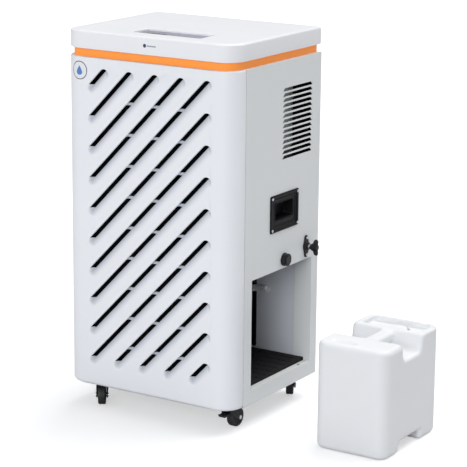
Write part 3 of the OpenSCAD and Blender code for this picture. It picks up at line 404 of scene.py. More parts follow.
def loft(rings, cap_last=True):
    """Closed rings of equal count joined by quads, with the first ring capped."""
    n = len(rings[0])
    faces = []
    for a in range(len(rings) - 1):
        for i in range(n):
            j = (i + 1) % n
            faces.append([a * n + i, a * n + j, (a + 1) * n + j, (a + 1) * n + i])
    faces.append(list(range(n))[::-1])
    if cap_last:
        last = (len(rings) - 1) * n
        faces.append([last + i for i in range(n)])
    return np.concatenate(rings), faces


def arc(count, start, end):
    """Angles from start to end in count steps, both ends included."""
    return [start + (end - start) * i / count for i in range(count + 1)]


def arc_points(centre_u, centre_v, radius, angles):
    return [(centre_u + radius * math.cos(a), centre_v + radius * math.sin(a)) for a in angles]


def circle(radius, count):
    return np.array(arc_points(0, 0, radius, arc(count, 0, 2 * math.pi)[:-1]))


def rounded_loop(centre_u, centre_v, width, height, radius, steps):
    """Rounded rectangle outline, with so many steps to each corner."""
    points = []
    for side_u, side_v, start in ((1, -1, -QUARTER), (1, 1, 0), (-1, 1, QUARTER),
                                  (-1, -1, math.pi)):
        points += arc_points(centre_u + side_u * (width / 2 - radius),
                             centre_v + side_v * (height / 2 - radius),
                             radius, arc(steps, start, start + QUARTER))
    return np.array(points)


def at_x(x, outline):
    return np.column_stack([np.full(len(outline), x), outline])


def at_z(outline, z):
    return np.column_stack([outline, np.full(len(outline), z)])


def inside_outline(points, outline):
    """Which 2D points lie inside a closed outline."""
    px, py = points[:, 0], points[:, 1]
    inside = np.zeros(len(points), bool)
    for i in range(len(outline)):
        x1, y1 = outline[i]
        x2, y2 = outline[(i + 1) % len(outline)]
        inside ^= ((y1 > py) != (y2 > py)) & (
            px < (x2 - x1) * (py - y1) / (y2 - y1 + 1e-12) + x1)
    return inside


def turn(a, b, c):
    """Twice the area of triangle abc, positive when it runs anticlockwise."""
    return ((b[..., 0] - a[..., 0]) * (c[..., 1] - a[..., 1])
            - (b[..., 1] - a[..., 1]) * (c[..., 0] - a[..., 0]))


# ------------------------------------------------------------------ solid fields
# a field is negative inside its solid, and roughly the distance in mm near the surface
def surface_nets(field, low, high, step, passes):
    """Closed surface where field = 0: one point to a crossed cell, then moved on to it."""
    low, high = np.array(low, float), np.array(high, float)
    count = np.ceil((high - low) / step).astype(int) + 1
    axes = [low[i] + step * np.arange(count[i]) for i in range(3)]
    values = field(*np.meshgrid(*axes, indexing="ij"))
    inside = values < 0
    cells = tuple(count - 1)
    corners = np.zeros(cells, int)
    for x, y, z in np.ndindex(2, 2, 2):
        corners += inside[x:x + cells[0], y:y + cells[1], z:z + cells[2]]
    active = (corners > 0) & (corners < 8)
    index = -np.ones(cells, int)
    index[active] = np.arange(active.sum())
    total = np.zeros(cells + (3,))
    hits = np.zeros(cells)
    quads = []
    for axis in range(3):
        start = np.take(values, np.arange(count[axis] - 1), axis)
        end = np.take(values, np.arange(1, count[axis]), axis)
        crossed = (start < 0) != (end < 0)
        edges = np.argwhere(crossed)
        start, end = start[crossed], end[crossed]
        crossings = edges.astype(float)
        crossings[:, axis] += start / (start - end)
        u, v = (axis + 1) % 3, (axis + 2) % 3
        surrounded = ((edges[:, u] > 0) & (edges[:, v] > 0)
                      & (edges[:, u] < count[u] - 1) & (edges[:, v] < count[v] - 1))
        around = []
        for shift_u, shift_v in ((-1, -1), (0, -1), (0, 0), (-1, 0)):
            cell = edges.copy()
            cell[:, u] += shift_u
            cell[:, v] += shift_v
            good = (cell >= 0).all(1) & (cell < np.array(cells)).all(1)
            where = tuple(cell[good].T)
            np.add.at(total, where, crossings[good])
            np.add.at(hits, where, 1)
            around.append(index[tuple(np.clip(cell, 0, np.array(cells) - 1).T)])
        quad = np.stack(around, 1)[surrounded]
        flipped = (start >= 0)[surrounded]
        quad[flipped] = quad[flipped][:, ::-1]
        quads.append(quad)
    points = (total[active] / hits[active][:, None]) * step + low
    nudge = step * 0.05
    for _ in range(passes):
        here = field(*points.T)
        slope = np.stack([(field(*(points + nudge * unit).T) - here) / nudge
                          for unit in np.eye(3)], 1)
        steepness = np.maximum((slope * slope).sum(1), 0.05)
        move = -(here / steepness)[:, None] * slope
        length = np.linalg.norm(move, axis=1)
        move *= np.minimum(1.0, 0.7 * step / np.maximum(length, 1e-9))[:, None]
        points = points + move
    return points, np.concatenate(quads).tolist()


def join(first, second, soft):
    """Union, its seam softened over soft mm."""
    share = np.clip(0.5 + 0.5 * (second - first) / soft, 0, 1)
    return second * (1 - share) + first * share - soft * share * (1 - share)


def meet(first, second, soft):
    return -join(-first, -second, soft)


def cut(body, tool, soft):
    return meet(body, -tool, soft)


def extrude(outline, along, centre, half, radius):
    """A 2D field pushed half each way from centre, with its edges rounded."""
    a, b = outline + radius, np.abs(along - centre) - half + radius
    return (np.hypot(np.maximum(a, 0), np.maximum(b, 0))
            + np.minimum(np.maximum(a, b), 0) - radius)


def rectangle(u, v, centre, half, radius):
    return extrude(np.abs(u - centre[0]) - half[0], v, centre[1], half[1], radius)


def taper(u, v, start, end, radius, end_radius):
    """2D bar with round ends, its radius changing from start to end."""
    span_u, span_v = end[0] - start[0], end[1] - start[1]
    from_u, from_v = u - start[0], v - start[1]
    t = np.clip((from_u * span_u + from_v * span_v) / (span_u * span_u + span_v * span_v), 0, 1)
    return (np.hypot(from_u - span_u * t, from_v - span_v * t)
            - (radius + (end_radius - radius) * t))


# ------------------------------------------------------------------ front panel
# diagonal grooves with round ends rise towards +x, each slotted along its upper side
PITCH_Z, PITCH_X = 77.5, 75.0  # groove to groove, up and across
SLOPE = PITCH_Z / PITCH_X
COS, SIN = math.cos(math.atan(SLOPE)), math.sin(math.atan(SLOPE))
GROOVE_COUNT = 14
GROOVE_LEFT = -160.3  # x where the left grooves start
GROOVE_LEFT_END = GROOVE_LEFT + 35  # x where the topmost groove ends
GROOVE_RIGHT = GROOVE_LEFT_END + 4 * PITCH_X
GROOVE_RISE = 930  # above the panel's foot, where the topmost groove's line meets x = 0
HALF_GROOVE, GROOVE_DEPTH = 14.5, 8.0
SLOT = 9.0  # slot width, taken from the groove's upper edge
RIB_HALF = 3.5  # half the height of the ribs between slots

WALL = 3.0
FOOT_RADIUS, HEAD_RADIUS = 11.0, 4.0  # rolls of the lower and upper edges
FACE_BOTTOM, FACE_TOP = FRONT_BOTTOM + FOOT_RADIUS, FRONT_TOP - HEAD_RADIUS
FOOT_ROLL, HEAD_ROLL = FOOT_RADIUS * QUARTER, HEAD_RADIUS * QUARTER
PANEL_END = FLAT + BEND + (SEAM_Y - FRONT_Y - CORNER)  # middle to seam, along the skin
SEAM_ROLL = 1.2  # strip along the seam that turns in

GROOVES = []  # start x, start z, length, end x
for i in range(GROOVE_COUNT):
    x_start = GROOVE_LEFT if i <= 9 else GROOVE_LEFT + PITCH_X * (i - 9)
    x_end = GROOVE_LEFT_END + PITCH_X * i if i <= 4 else GROOVE_RIGHT
    z_start = FRONT_BOTTOM + GROOVE_RISE - PITCH_Z * i + SLOPE * x_start
    GROOVES.append((x_start, z_start, (x_end - x_start) / COS, x_end))


def from_groove(groove, along, across):
    return groove[0] + along * COS - across * SIN, groove[1] + along * SIN + across * COS


def smooth_step(start, end, t):
    t = np.clip((t - start) / (end - start), 0, 1)
    return t * t * (3 - 2 * t)


def groove_depth(x, z):
    """Depth of the grooves behind the face."""
    depth = np.zeros_like(x)
    for x_start, z_start, length, _ in GROOVES:
        dx, dz = x - x_start, z - z_start
        along, across = dx * COS + dz * SIN, -dx * SIN + dz * COS
        rim = HALF_GROOVE - np.hypot(along - np.clip(along, 0, length), across)
        # deepens from the lower side up to the slot
        rise = np.clip((across + HALF_GROOVE) / (2 * HALF_GROOVE - SLOT), 0, 1)
        profile = 0.52 * rise + 0.48 * rise ** 2.0
        wall = smooth_step(-0.7, 2.0, rim)
        # the lower end rises to the face as a bowl
        bowl = 1 - (1 - smooth_step(-0.7, 8.5, rim)) * (1 - smooth_step(-2.0, 11.0, along))
        scoop = GROOVE_DEPTH * profile * wall * bowl
        # the upper end carries its depth round to a crisp wall
        near_end = smooth_step(length - 4.0, length + 7.0, along)
        end = GROOVE_DEPTH * wall * (0.35 + 0.65 * rise) * near_end
        scoop = np.maximum(scoop, end * smooth_step(-1.0, 9.0, rim + 4.0 * rise))
        depth = np.maximum(depth, np.where(rim > -0.7, scoop, 0))
    return depth


def run(start, end):
    """Points about 6 mm apart from start up to, but without, end."""
    du, dv = end[0] - start[0], end[1] - start[1]
    count = max(1, int(math.hypot(du, dv) / 6))
    return [(start[0] + du * t / count, start[1] + dv * t / count) for t in range(count)]


def slot_outlines():
    """Slots of all grooves; level ribs part them and each groove's last rounds its end."""
    outlines = []
    low, high = HALF_GROOVE - SLOT, HALF_GROOVE

    def along_at(groove, z, across):
        return (z - groove[1] - across * COS) / SIN

    for groove in GROOVES:
        x_start, z_start, length, x_end = groove
        levels = [z_start + 9.5]  # foot of the first slot, then the ribs' middles
        for column in (1, 2, 3):
            x = GROOVE_LEFT_END + column * PITCH_X
            if x_start + 12 < x < x_end - 12:
                levels.append(z_start + SLOPE * (x + 4 - x_start) + 9)
        for k, level in enumerate(levels):
            foot = level + (RIB_HALF if k else 0)
            foot_low, foot_high = along_at(groove, foot, low), along_at(groove, foot, high)
            # before the straight, the upper corner lies on the round end
            corner = (foot_high, high)
            if foot_high < 0:
                corner = (foot_high, math.sqrt(high * high - foot_high * foot_high))
            if k + 1 < len(levels):
                head = levels[k + 1] - RIB_HALF
                corners = [(foot_low, low), (along_at(groove, head, low), low),
                           (along_at(groove, head, high), high), corner]
                points = []
                for a in range(4):
                    points += run(corners[a], corners[(a + 1) % 4])
            else:
                end = (max(foot_high, 0.0), high)
                points = run((foot_low, low), (length + math.sqrt(high * high - low * low), low))
                points += arc_points(length, 0, high,
                                     arc(7, math.asin(low / high), QUARTER)[:-1])
                points += run((length, high), end) + [end]
                if foot_high < 0:
                    points.append(corner)
            outlines.append([from_groove(groove, u, v) for u, v in points])
    return outlines


def plan_point(s, inset):
    """Plan place of the length s along the skin from the middle of the front."""
    a = np.abs(s)
    angle = np.clip((a - FLAT) / CORNER, 0, QUARTER)
    radius = CORNER - inset
    x = np.where(a <= FLAT, a, FLAT + radius * np.sin(angle))
    y = np.where(a <= FLAT, FRONT_Y + inset, FRONT_Y + CORNER - radius * np.cos(angle))
    side = a > FLAT + BEND
    x = np.where(side, HALF_WIDTH - inset, x)
    y = np.where(side, FRONT_Y + CORNER + (a - FLAT - BEND), y)
    return np.sign(s) * x, y


def front_sheet():
    """Triangulated flat sheet of the panel: points (s along the skin, t up it), triangles."""
    right = [FLAT + BEND * k / 14 for k in range(15)]
    right += [PANEL_END - SEAM_ROLL, PANEL_END - 0.5, PANEL_END]
    columns = [-s for s in reversed(right)] + [-100.0, 0.0, 100.0] + right
    rows = [FACE_BOTTOM - FOOT_ROLL - 3.0]
    rows += [FACE_BOTTOM - FOOT_ROLL * k / 7 for k in range(7, -1, -1)]
    rows += [FACE_TOP + HEAD_ROLL * k / 5 for k in range(6)] + [FACE_TOP + HEAD_ROLL + 9.0]
    points = [(s, t) for s in columns for t in rows]
    edges = []
    n = len(rows)
    for i, s in enumerate(columns):
        for j, t in enumerate(rows):
            if i + 1 < len(columns):
                edges.append((i * n + j, (i + 1) * n + j))
            # no upright edge crosses the grooved face
            if j + 1 < n and not (-FLAT + 1 < s < FLAT - 1 and t == FACE_BOTTOM):
                edges.append((i * n + j, i * n + j + 1))

    def add_loop(loop):
        first = len(points)
        points.extend(loop)
        edges.extend([(first + a, first + (a + 1) % len(loop)) for a in range(len(loop))])

    for groove in GROOVES:
        length = groove[2]
        count = max(2, int(length / 7))
        for offset in (0.75, 0.0, -1.0, -2.2):
            radius = HALF_GROOVE + offset
            loop = [(length * a / count, -radius) for a in range(count)]
            loop += arc_points(length, 0, radius, arc(16, -QUARTER, QUARTER)[:-1])
            loop += [(length - length * a / count, radius) for a in range(count)]
            loop += arc_points(0, 0, radius, arc(16, QUARTER, 3 * QUARTER)[:-1])
            add_loop([from_groove(groove, u, v) for u, v in loop])
        for v in np.arange(-HALF_GROOVE + 4.4, HALF_GROOVE - 2.3, 2.45):
            # rows of points that follow the scoop, closer together at both ends
            reach = math.sqrt(max((HALF_GROOVE - 3.2) ** 2 - v * v, 0))
            row = list(np.arange(-reach, 13.0, 2.3))
            row += list(np.arange(13.0, max(length - 5.0, 13.1), 7.5))
            row += list(np.arange(max(length - 5.0, 14.0), length + reach, 2.3))
            points.extend([from_groove(groove, u, v) for u in row
                           if -reach <= u <= length + reach])
    slots = slot_outlines()
    for slot in slots:
        add_loop(slot)

    flat, _, faces, _, _, _ = delaunay_2d_cdt(
        [Vector(p) for p in points], edges, [], 0, 1e-4, False)
    flat = np.array([tuple(p) for p in flat], float)
    triangles = np.array([list(f) for f in faces if len(f) == 3], int)
    centres = flat[triangles].mean(1)
    open_slot = np.zeros(len(triangles), bool)
    for slot in slots:
        open_slot |= inside_outline(centres, slot)
    triangles = triangles[~open_slot]
    turns = turn(*(flat[triangles[:, k]] for k in range(3)))
    solid = 0.5 * np.abs(turns) > 1e-7
    triangles, turns = triangles[solid], turns[solid]
    triangles[turns < 0] = triangles[turns < 0][:, ::-1]
    used, triangles = np.unique(triangles, return_inverse=True)
    return flat[used], triangles.reshape(-1, 3)


def build_front():
    flat, triangles = front_sheet()
    s, t = flat.T
    on_face = (np.abs(s) < FLAT) & (t > FACE_BOTTOM) & (t < FACE_TOP)
    depth = np.where(on_face, groove_depth(s, t), 0)

    def roll(past, radius, offset):
        """Inset and travel of the skin, so far past the start of a rolled edge."""
        angle = np.clip(past / radius, 0, QUARTER)
        inset = radius - (radius - offset) * np.cos(angle)
        return inset + np.maximum(past - radius * QUARTER, 0), (radius - offset) * np.sin(angle)

    def skin(offset):
        """Points of the skin that lies offset behind the outer one."""
        inset = offset + depth
        z = t.copy()
        foot_inset, drop = roll(FACE_BOTTOM - t, FOOT_RADIUS, offset)
        inset = np.where(t < FACE_BOTTOM, foot_inset, inset)
        z = np.where(t < FACE_BOTTOM, FACE_BOTTOM - drop, z)
        head_inset, rise = roll(t - FACE_TOP, HEAD_RADIUS, offset)
        inset = np.where(t > FACE_TOP, head_inset, inset)
        z = np.where(t > FACE_TOP, FACE_TOP + rise, z)
        if offset == 0:
            # the seam edges roll in slightly
            share = np.clip((np.abs(s) - (PANEL_END - SEAM_ROLL)) / SEAM_ROLL, 0, 1)
            inset = inset + 0.9 * share * share
        x, y = plan_point(s, inset)
        return np.stack([x, y, z], 1)

    n = len(flat)
    faces = triangles.tolist() + (triangles[:, ::-1] + n).tolist()
    # join the skins along every open edge
    edges = dict.fromkeys((f[a], f[(a + 1) % 3]) for f in triangles.tolist() for a in range(3))
    faces += [[b, a, a + n, b + n] for a, b in edges if (b, a) not in edges]
    add_mesh("front_panel_skin", np.concatenate([skin(0.0), skin(WALL)]), faces, "cabinet",
             [WHITE_MOULD], angle=42, stands_for="front_panel")


build_front()

# ------------------------------------------------------------------ lid
BACK_RADIUS = 6.0  # plan radius of the lid's rear corners
LID_ROLL = 5.0  # radius of the top edge
LID_CHAMFER = 2.6  # radius of the bottom edge
LIP = 2.2  # radius of the recess's upper edge
PANEL_LOW, PANEL_HIGH = mm_box("control_panel")
RECESS_X, RECESS_Y = (PANEL_LOW[:2] + PANEL_HIGH[:2]) / 2
RECESS_W, RECESS_D = PANEL_HIGH[:2] - PANEL_LOW[:2] + 0.6


def plan_loop(inset):
    """Closed plan outline of the lid, anticlockwise seen from above."""
    eighths = [k / 8 for k in range(1, 9)]
    radius = CORNER - inset
    half = HALF_WIDTH - inset
    front_end = FRONT_Y + CORNER
    back_end = LID_BACK - inset - BACK_RADIUS
    back_half = half - BACK_RADIUS
    points = [(-FLAT + 2 * FLAT * f, FRONT_Y + inset) for f in [0.0] + eighths]
    points += arc_points(FLAT, front_end, radius, arc(14, -QUARTER, 0)[1:])
    points += [(half, front_end + (back_end - FRONT_Y - CORNER) * f) for f in eighths]
    points += arc_points(back_half, back_end, BACK_RADIUS, arc(5, 0, QUARTER)[1:])
    points += [(back_half - 2 * back_half * f, LID_BACK - inset) for f in eighths]
    points += arc_points(-back_half, back_end, BACK_RADIUS, arc(5, QUARTER, math.pi)[1:])
    points += [(-half, back_end + (front_end - back_end) * f) for f in eighths]
    points += arc_points(-FLAT, front_end, radius, arc(14, math.pi, 3 * QUARTER)[1:-1])
    return np.array(points)


def planar_with_hole(outer, inner):
    """Triangles between two 2D loops, as indices into outer followed by inner."""
    edges = []
    for first, count in ((0, len(outer)), (len(outer), len(inner))):
        edges += [(first + i, first + (i + 1) % count) for i in range(count)]
    flat, _, faces, origins, _, _ = delaunay_2d_cdt(
        [Vector(p) for p in outer] + [Vector(p) for p in inner], edges, [], 1, 1e-6, True)
    index = [origin[0] if origin else -1 for origin in origins]
    flat = np.array([tuple(p) for p in flat])
    triangles = []
    for face in faces:
        corners = flat[list(face)]
        if inside_outline(corners.mean(0)[None], inner)[0]:
            continue
        triangle = [index[i] for i in face]
        triangles.append(triangle[::-1] if turn(*corners[:3]) < 0 else triangle)
    return triangles


def build_lid():
    # inset from the plan outline, z
    stations = [(13.0, LID_BOTTOM + 4.0), (13.0, LID_BOTTOM), (LID_CHAMFER, LID_BOTTOM)]
    stations += [(LID_CHAMFER * (1 - math.sin(a)), LID_BOTTOM + LID_CHAMFER * (1 - math.cos(a)))
                 for a in arc(5, 0, QUARTER)[1:]]
    stations.append((0.0, LID_TOP - LID_ROLL - 12))
    stations += [(LID_ROLL * (1 - math.cos(a)),
                  LID_TOP - 0.55 - LID_ROLL + LID_ROLL * math.sin(a))
                 for a in arc(8, 0, QUARTER)]
    stations += [(22.0, LID_TOP - 0.15), (34.0, LID_TOP)]
    rings = [at_z(plan_loop(inset), z) for inset, z in stations]
    points, faces = loft(rings, cap_last=False)

    # recess for the control panel: growth of its outline, z
    ledge = PANEL_HIGH[2] - 3.0
    steps = [(LIP * (1 - math.sin(a)), LID_TOP - LIP * (1 - math.cos(a)))
             for a in arc(5, 0, QUARTER)]
    steps += [(0.0, ledge), (-4.0, ledge), (-4.0, PANEL_HIGH[2] - 13.0)]
    loops = [at_z(rounded_loop(RECESS_X, RECESS_Y, RECESS_W + 2 * grow, RECESS_D + 2 * grow,
                               radius=max(4.0 + grow, 1.0), steps=7), z) for grow, z in steps]
    n, m = len(rings[0]), len(loops[0])
    first = len(points)
    # the top ring's points come just before the recess's, so one offset serves both
    for triangle in planar_with_hole(rings[-1][:, :2], loops[0][:, :2]):
        faces.append([first - n + i for i in triangle])
    for a in range(len(loops) - 1):
        upper, lower = first + a * m, first + (a + 1) * m
        for i in range(m):
            j = (i + 1) % m
            faces.append([upper + j, upper + i, lower + i, lower + j])
    floor_ring = first + (len(loops) - 1) * m
    faces.append([floor_ring + i for i in range(m)])
    add_mesh("lid_shell", np.concatenate([points] + loops), faces, "cabinet", [WHITE_LID],
             angle=40, stands_for="top_lid")


build_lid()

# ------------------------------------------------------------------ water tank
TANK_LOW, TANK_HIGH = mm_box("water_tank")
TANK_X, TANK_Y = (TANK_LOW[:2] + TANK_HIGH[:2]) / 2
TANK_W, TANK_D, TANK_H = TANK_HIGH - TANK_LOW
CAP_LOW, CAP_HIGH = mm_box("tank_cap")
CAP_X, CAP_Y = (CAP_LOW[:2] + CAP_HIGH[:2]) / 2
TROUGH_FLOOR = 228  # above the tank's foot


def tank_field(x, y, z):
    x, y, z = x - TANK_X, y - TANK_Y, z - TANK_LOW[2]
    middle = TANK_H / 2
    # large upright corners, with a soft top in front and a crisp rim at the rear
    plan = rectangle(x, y, centre=(0, 0), half=(TANK_W / 2, TANK_D / 2), radius=30)
    soft_top = extrude(plan, z, middle, middle, radius=13)
    soft_top = meet(soft_top, meet(plan, z - TANK_H, 26) - 3.2, 2.0)
    crisp_top = np.where(z > 120, extrude(plan, z, middle, middle, radius=6), soft_top)
    rear = np.clip((y - 35) / 30.0, 0, 1)
    body = soft_top * (1 - rear) + crisp_top * rear
    # carrying trough across the top; its walls lean apart as they rise
    rise = np.clip(z - TROUGH_FLOOR, -10, 60) / 42.0
    front_wall, rear_wall = -51.0 - 4.0 * rise, 41.0 + 5.0 * rise
    centre, half = (front_wall + rear_wall) / 2, (rear_wall - front_wall) / 2
    body = cut(body, meet(np.abs(y - centre) - half, TROUGH_FLOOR - z, 20), 9)
    # bar from front to back over the middle of the trough
    bar = rectangle(x, z, centre=(0, TANK_H - 18.5), half=(19, 13.5), radius=10)
    body = join(body, extrude(bar, y, centre=-5, half=62, radius=4), 10)
    # notch across the underside
    body = cut(body, meet(np.abs(y + 8) - 56, z - 27, 14), 12)
    # sunken pocket on the rear lobe and seat round the neck
    pocket = rectangle(x, y, centre=(0, 95), half=(TANK_W / 2 - 18, 33), radius=13)
    body = cut(body, extrude(pocket, z, centre=TANK_H + 6, half=20, radius=5), 3.5)
    from_neck = np.hypot(x - (CAP_X - TANK_X), y - (CAP_Y - TANK_Y))
    body = cut(body, extrude(from_neck - 33.0, z, centre=TANK_H + 2, half=31, radius=3), 4)
    # the neck tube stays under the cap
    neck = extrude(from_neck - 22.5, z, centre=TANK_H - 26, half=9, radius=1)
    body = join(body, neck, 1.0)
    # finger recess on the front lobe: a shallow lens
    lens = np.sqrt(((x + 29) / 36) ** 2 + ((y + 112) / 11) ** 2
                   + ((z - TANK_H - 1) / 10) ** 2) - 1
    return cut(body, lens * 9, 2.5)


def build_tank():
    points, faces = surface_nets(tank_field, TANK_LOW - 4, TANK_HIGH + 4,
                                 step=2.6, passes=4)
    add_mesh("tank_shell", np.clip(points, TANK_LOW, TANK_HIGH), faces, "tank", [TANK],
             angle=80, stands_for="water_tank")


build_tank()


# ------------------------------------------------------------------ recessed handles
def build_handle(piece, side):
    low, high = mm_box(piece)
    centre_y, centre_z = (low[1:] + high[1:]) / 2
    width, height = high[1:] - low[1:]
    inner, outer = sorted((side * low[0], side * high[0]))
    face = HALF_WIDTH + 0.1
    # width, height, corner radius, shift along y, shift up, distance from the middle plane
    stations = [
        (width - 28, height - 26, 4, 0, 0, inner),
        (width - 28, height - 26, 4, 0, 0, face),
        (width, height, 3.5, 0, 0, face),
        (width, height, 3.5, 0, 0, outer - 0.9),
        (width - 0.7, height - 0.7, 3.3, 0, 0, outer - 0.25),
        (width - 1.8, height - 1.8, 3.0, 0, 0, outer),
        (width - 15, height - 13, 13, 0, 0, outer),
        (width - 16.2, height - 14.2, 12.5, 0, 0, outer - 0.4),
        (width - 17.5, height - 15.5, 12, 0, 0, outer - 1.7),
        (width - 23, height - 21, 9, 0, 0, outer - 1.9),
        (width - 24.5, height - 22.5, 8.5, 0, 0, outer - 1.5),
        (width - 28, height - 26, 8, 0, 0, outer - 1.5),
        (width - 29.5, height - 27.5, 7.5, 0, 0, outer - 2.2),
        (width - 31, height - 29, 7.5, 0, 0, outer - 2.5),
        (91.5, 49.0, 7, 1, 2.0, outer - 2.8),
        (90.0, 47.5, 7, 1, 2.2, outer - 2.3),
        (88.0, 45.5, 6.5, 1, 2.4, outer - 2.1),
        (86.2, 43.7, 6, 1, 2.5, outer - 2.6),
        (84.6, 42.0, 6, 1, 2.5, outer - 4.2),
        (84.0, 41.0, 6, 1, 2.5, outer - 6.5),
        (83.0, 41, 7, 1, 2.6, inner + 7),
        (80.5, 39, 8, 1, 2.8, inner + 3.6),
        (74, 32, 9, 1, 3, inner + 2.4),
    ]
    rings = [at_x(side * x, rounded_loop(centre_y + dy, centre_z + dz, w, h, radius, steps=6))
             for w, h, radius, dy, dz, x in stations]
    if side < 0:
        rings = [ring[::-1] for ring in rings]
    points, faces = loft(rings)
    add_mesh(piece + "_moulding", points, faces, "cabinet", [BLACK_HANDLE],
             angle=35, stands_for=piece)


build_handle("handle_right", 1)
build_handle("handle_left", -1)

# ------------------------------------------------------------------ latch, on the +x side
FLANGE_LOW, FLANGE_HIGH = mm_box("latch_flange")
LATCH_Y, LATCH_Z = (FLANGE_LOW[1:] + FLANGE_HIGH[1:]) / 2
EAR = 22  # height of each flange ear from the hub
WING = 13  # height of each wing's middle from the hub
WING_X = 29  # wing's middle out from the cabinet side


def flange_field(x, y, z):
    y, z = y - LATCH_Y, z - LATCH_Z
    from_axis = np.hypot(y, z)
    plate = join(taper(y, z, (0, 0), (0, EAR), radius=13.2, end_radius=7.0),
                 taper(y, z, (0, 0), (0, -EAR), radius=13.2, end_radius=7.0), 2)
    body = extrude(plate, x, HALF_WIDTH + 1.9, half=1.75, radius=0.8)
    # hub with a ring groove in its outer face
    hub = extrude(from_axis - 10.3, x, HALF_WIDTH + 5.5, half=3.4, radius=1.2)
    hub = cut(hub, np.hypot(from_axis - 7.2, x - HALF_WIDTH - 9.4) - 1.3, 0.5)
    body = join(body, hub, 2.0)
    for side in (-1, 1):
        stud = np.hypot(y, z - EAR * side) - 5.2
        body = join(body, extrude(stud, x, HALF_WIDTH + 2.6, half=1.0, radius=0.5), 0.8)
    # tail inside the cabinet side, and the shaft hole
    tail = extrude(from_axis - 6.0, x, HALF_WIDTH - 3.5, half=4.4, radius=0.3)
    return cut(join(body, tail, 0.5), from_axis - 4.1, 0.3)


def wing_field(x, y, z):
    y, z = y - LATCH_Y, z - LATCH_Z
    from_axis = np.hypot(y, z)
    hub = extrude(from_axis - 7.0, x, HALF_WIDTH + 25, half=11, radius=1.5)
    collar = extrude(from_axis - 9.5, x, HALF_WIDTH + 23, half=3.0, radius=1.0)
    hub = join(hub, collar, 1.0)

    def lobe(height):
        # each wing leans outwards from the hub
        lean = (x - HALF_WIDTH - WING_X - 0.10 * height) * 1.05
        return np.sqrt(y ** 2 * 1.9 + (height - WING) ** 2 * 0.8 + lean ** 2) - 7.2

    body = join(hub, np.minimum(lobe(-z), lobe(z)) * 0.8, 4.0)
    # thumb hollows in the wing faces
    for side in (-1, 1):
        for face in (-1, 1):
            hollow = np.sqrt((y - face * 8.2) ** 2 + (z - WING * side) ** 2
                             + (x - HALF_WIDTH - WING_X) ** 2) - 5.2
            body = cut(body, hollow, 1.5)
    return np.maximum(body, x - (HALF_WIDTH + 36))


def latch_nets(field, x_low, x_high, half_y, half_z):
    return surface_nets(field, (HALF_WIDTH + x_low, LATCH_Y - half_y, LATCH_Z - half_z),
                        (HALF_WIDTH + x_high, LATCH_Y + half_y, LATCH_Z + half_z),
                        step=0.6, passes=3)


def build_latch():
    points, faces = latch_nets(flange_field, x_low=-9, x_high=11, half_y=16, half_z=32)
    add_mesh("latch_flange_casting", points, faces, "cabinet", [BLACK],
             angle=50, stands_for="latch_flange")

    wing = latch_nets(wing_field, x_low=12, x_high=37, half_y=13, half_z=24)
    # shaft: radius, x out from the cabinet side
    profile = [(3.4, -14), (4.0, -13.4), (4.0, 9.6), (4.6, 9.6), (5.0, 10.2), (5.0, 12.2),
               (4.6, 12.8), (4.0, 12.8), (4.0, 22)]
    shaft = loft([at_x(HALF_WIDTH + x, circle(radius, 28) + (LATCH_Y, LATCH_Z))
                  for radius, x in profile])
    # cam plate below the axis: x out from the cabinet side, inset of its outline
    cam = loft([at_x(HALF_WIDTH + x, rounded_loop(LATCH_Y, LATCH_Z - 9.5, 12 - 2 * inset,
                                                  29 - 2 * inset, 5.0 - inset, steps=6))
                for x, inset in ((-13, 0.6), (-12.6, 0.0), (-9.9, 0.0), (-9.5, 0.6))])
    points, faces = join_parts([wing, shaft, cam])
    indices = [0] * len(wing[1]) + [1] * (len(shaft[1]) + len(cam[1]))
    add_mesh("latch_wing_knob", points, faces, "latch", [BLACK_KNOB, SHAFT],
             angle=50, stands_for="latch_knob", indices=indices)


build_latch()

# ------------------------------------------------------------------ casters
# local frame: kingpin on the z axis, wheel towards +x, axle along y
AXLE_X, AXLE_Z = 26, 25
PEDAL_X, PEDAL_Z = -9, 42  # pivot of the brake pedal
WELL_HALF = 11.9  # half the gap between the fork's cheeks
# half the wheel's section: radius, place along the axle
WHEEL_HALF = [
    (3.2, -11.2), (6.2, -11.2), (6.8, -10.6), (6.8, -7.6), (8.4, -6.2), (16.2, -6.2),
    (17.4, -7.8), (18.2, -9.2), (19.2, -9.5), (22.4, -9.5), (23.8, -9.0), (24.6, -7.6),
    (25.0, -5.2), (24.85, -1.2), (24.3, -0.8),
]


def joint_place(child):
    """Plan place of the joint that carries a body."""
    joint = next(j for j in frame["joints"] if j["child"] == child)
    return [joint["pos_m"][i] * 1000 - SHIFT[i] for i in range(2)]


def caster_place(tag):
    """Kingpin x and y, and the plan angle towards the wheel."""
    pin_x, pin_y = joint_place("swivel_" + tag)
    wheel_x, wheel_y = joint_place("roller_" + tag)
    return pin_x, pin_y, math.atan2(wheel_y - pin_y, wheel_x - pin_x)


def to_layout(points, pin_x, pin_y, angle):
    x, y, z = points.T
    c, s = math.cos(angle), math.sin(angle)
    return np.column_stack([pin_x + c * x - s * y, pin_y + s * x + c * y, z])


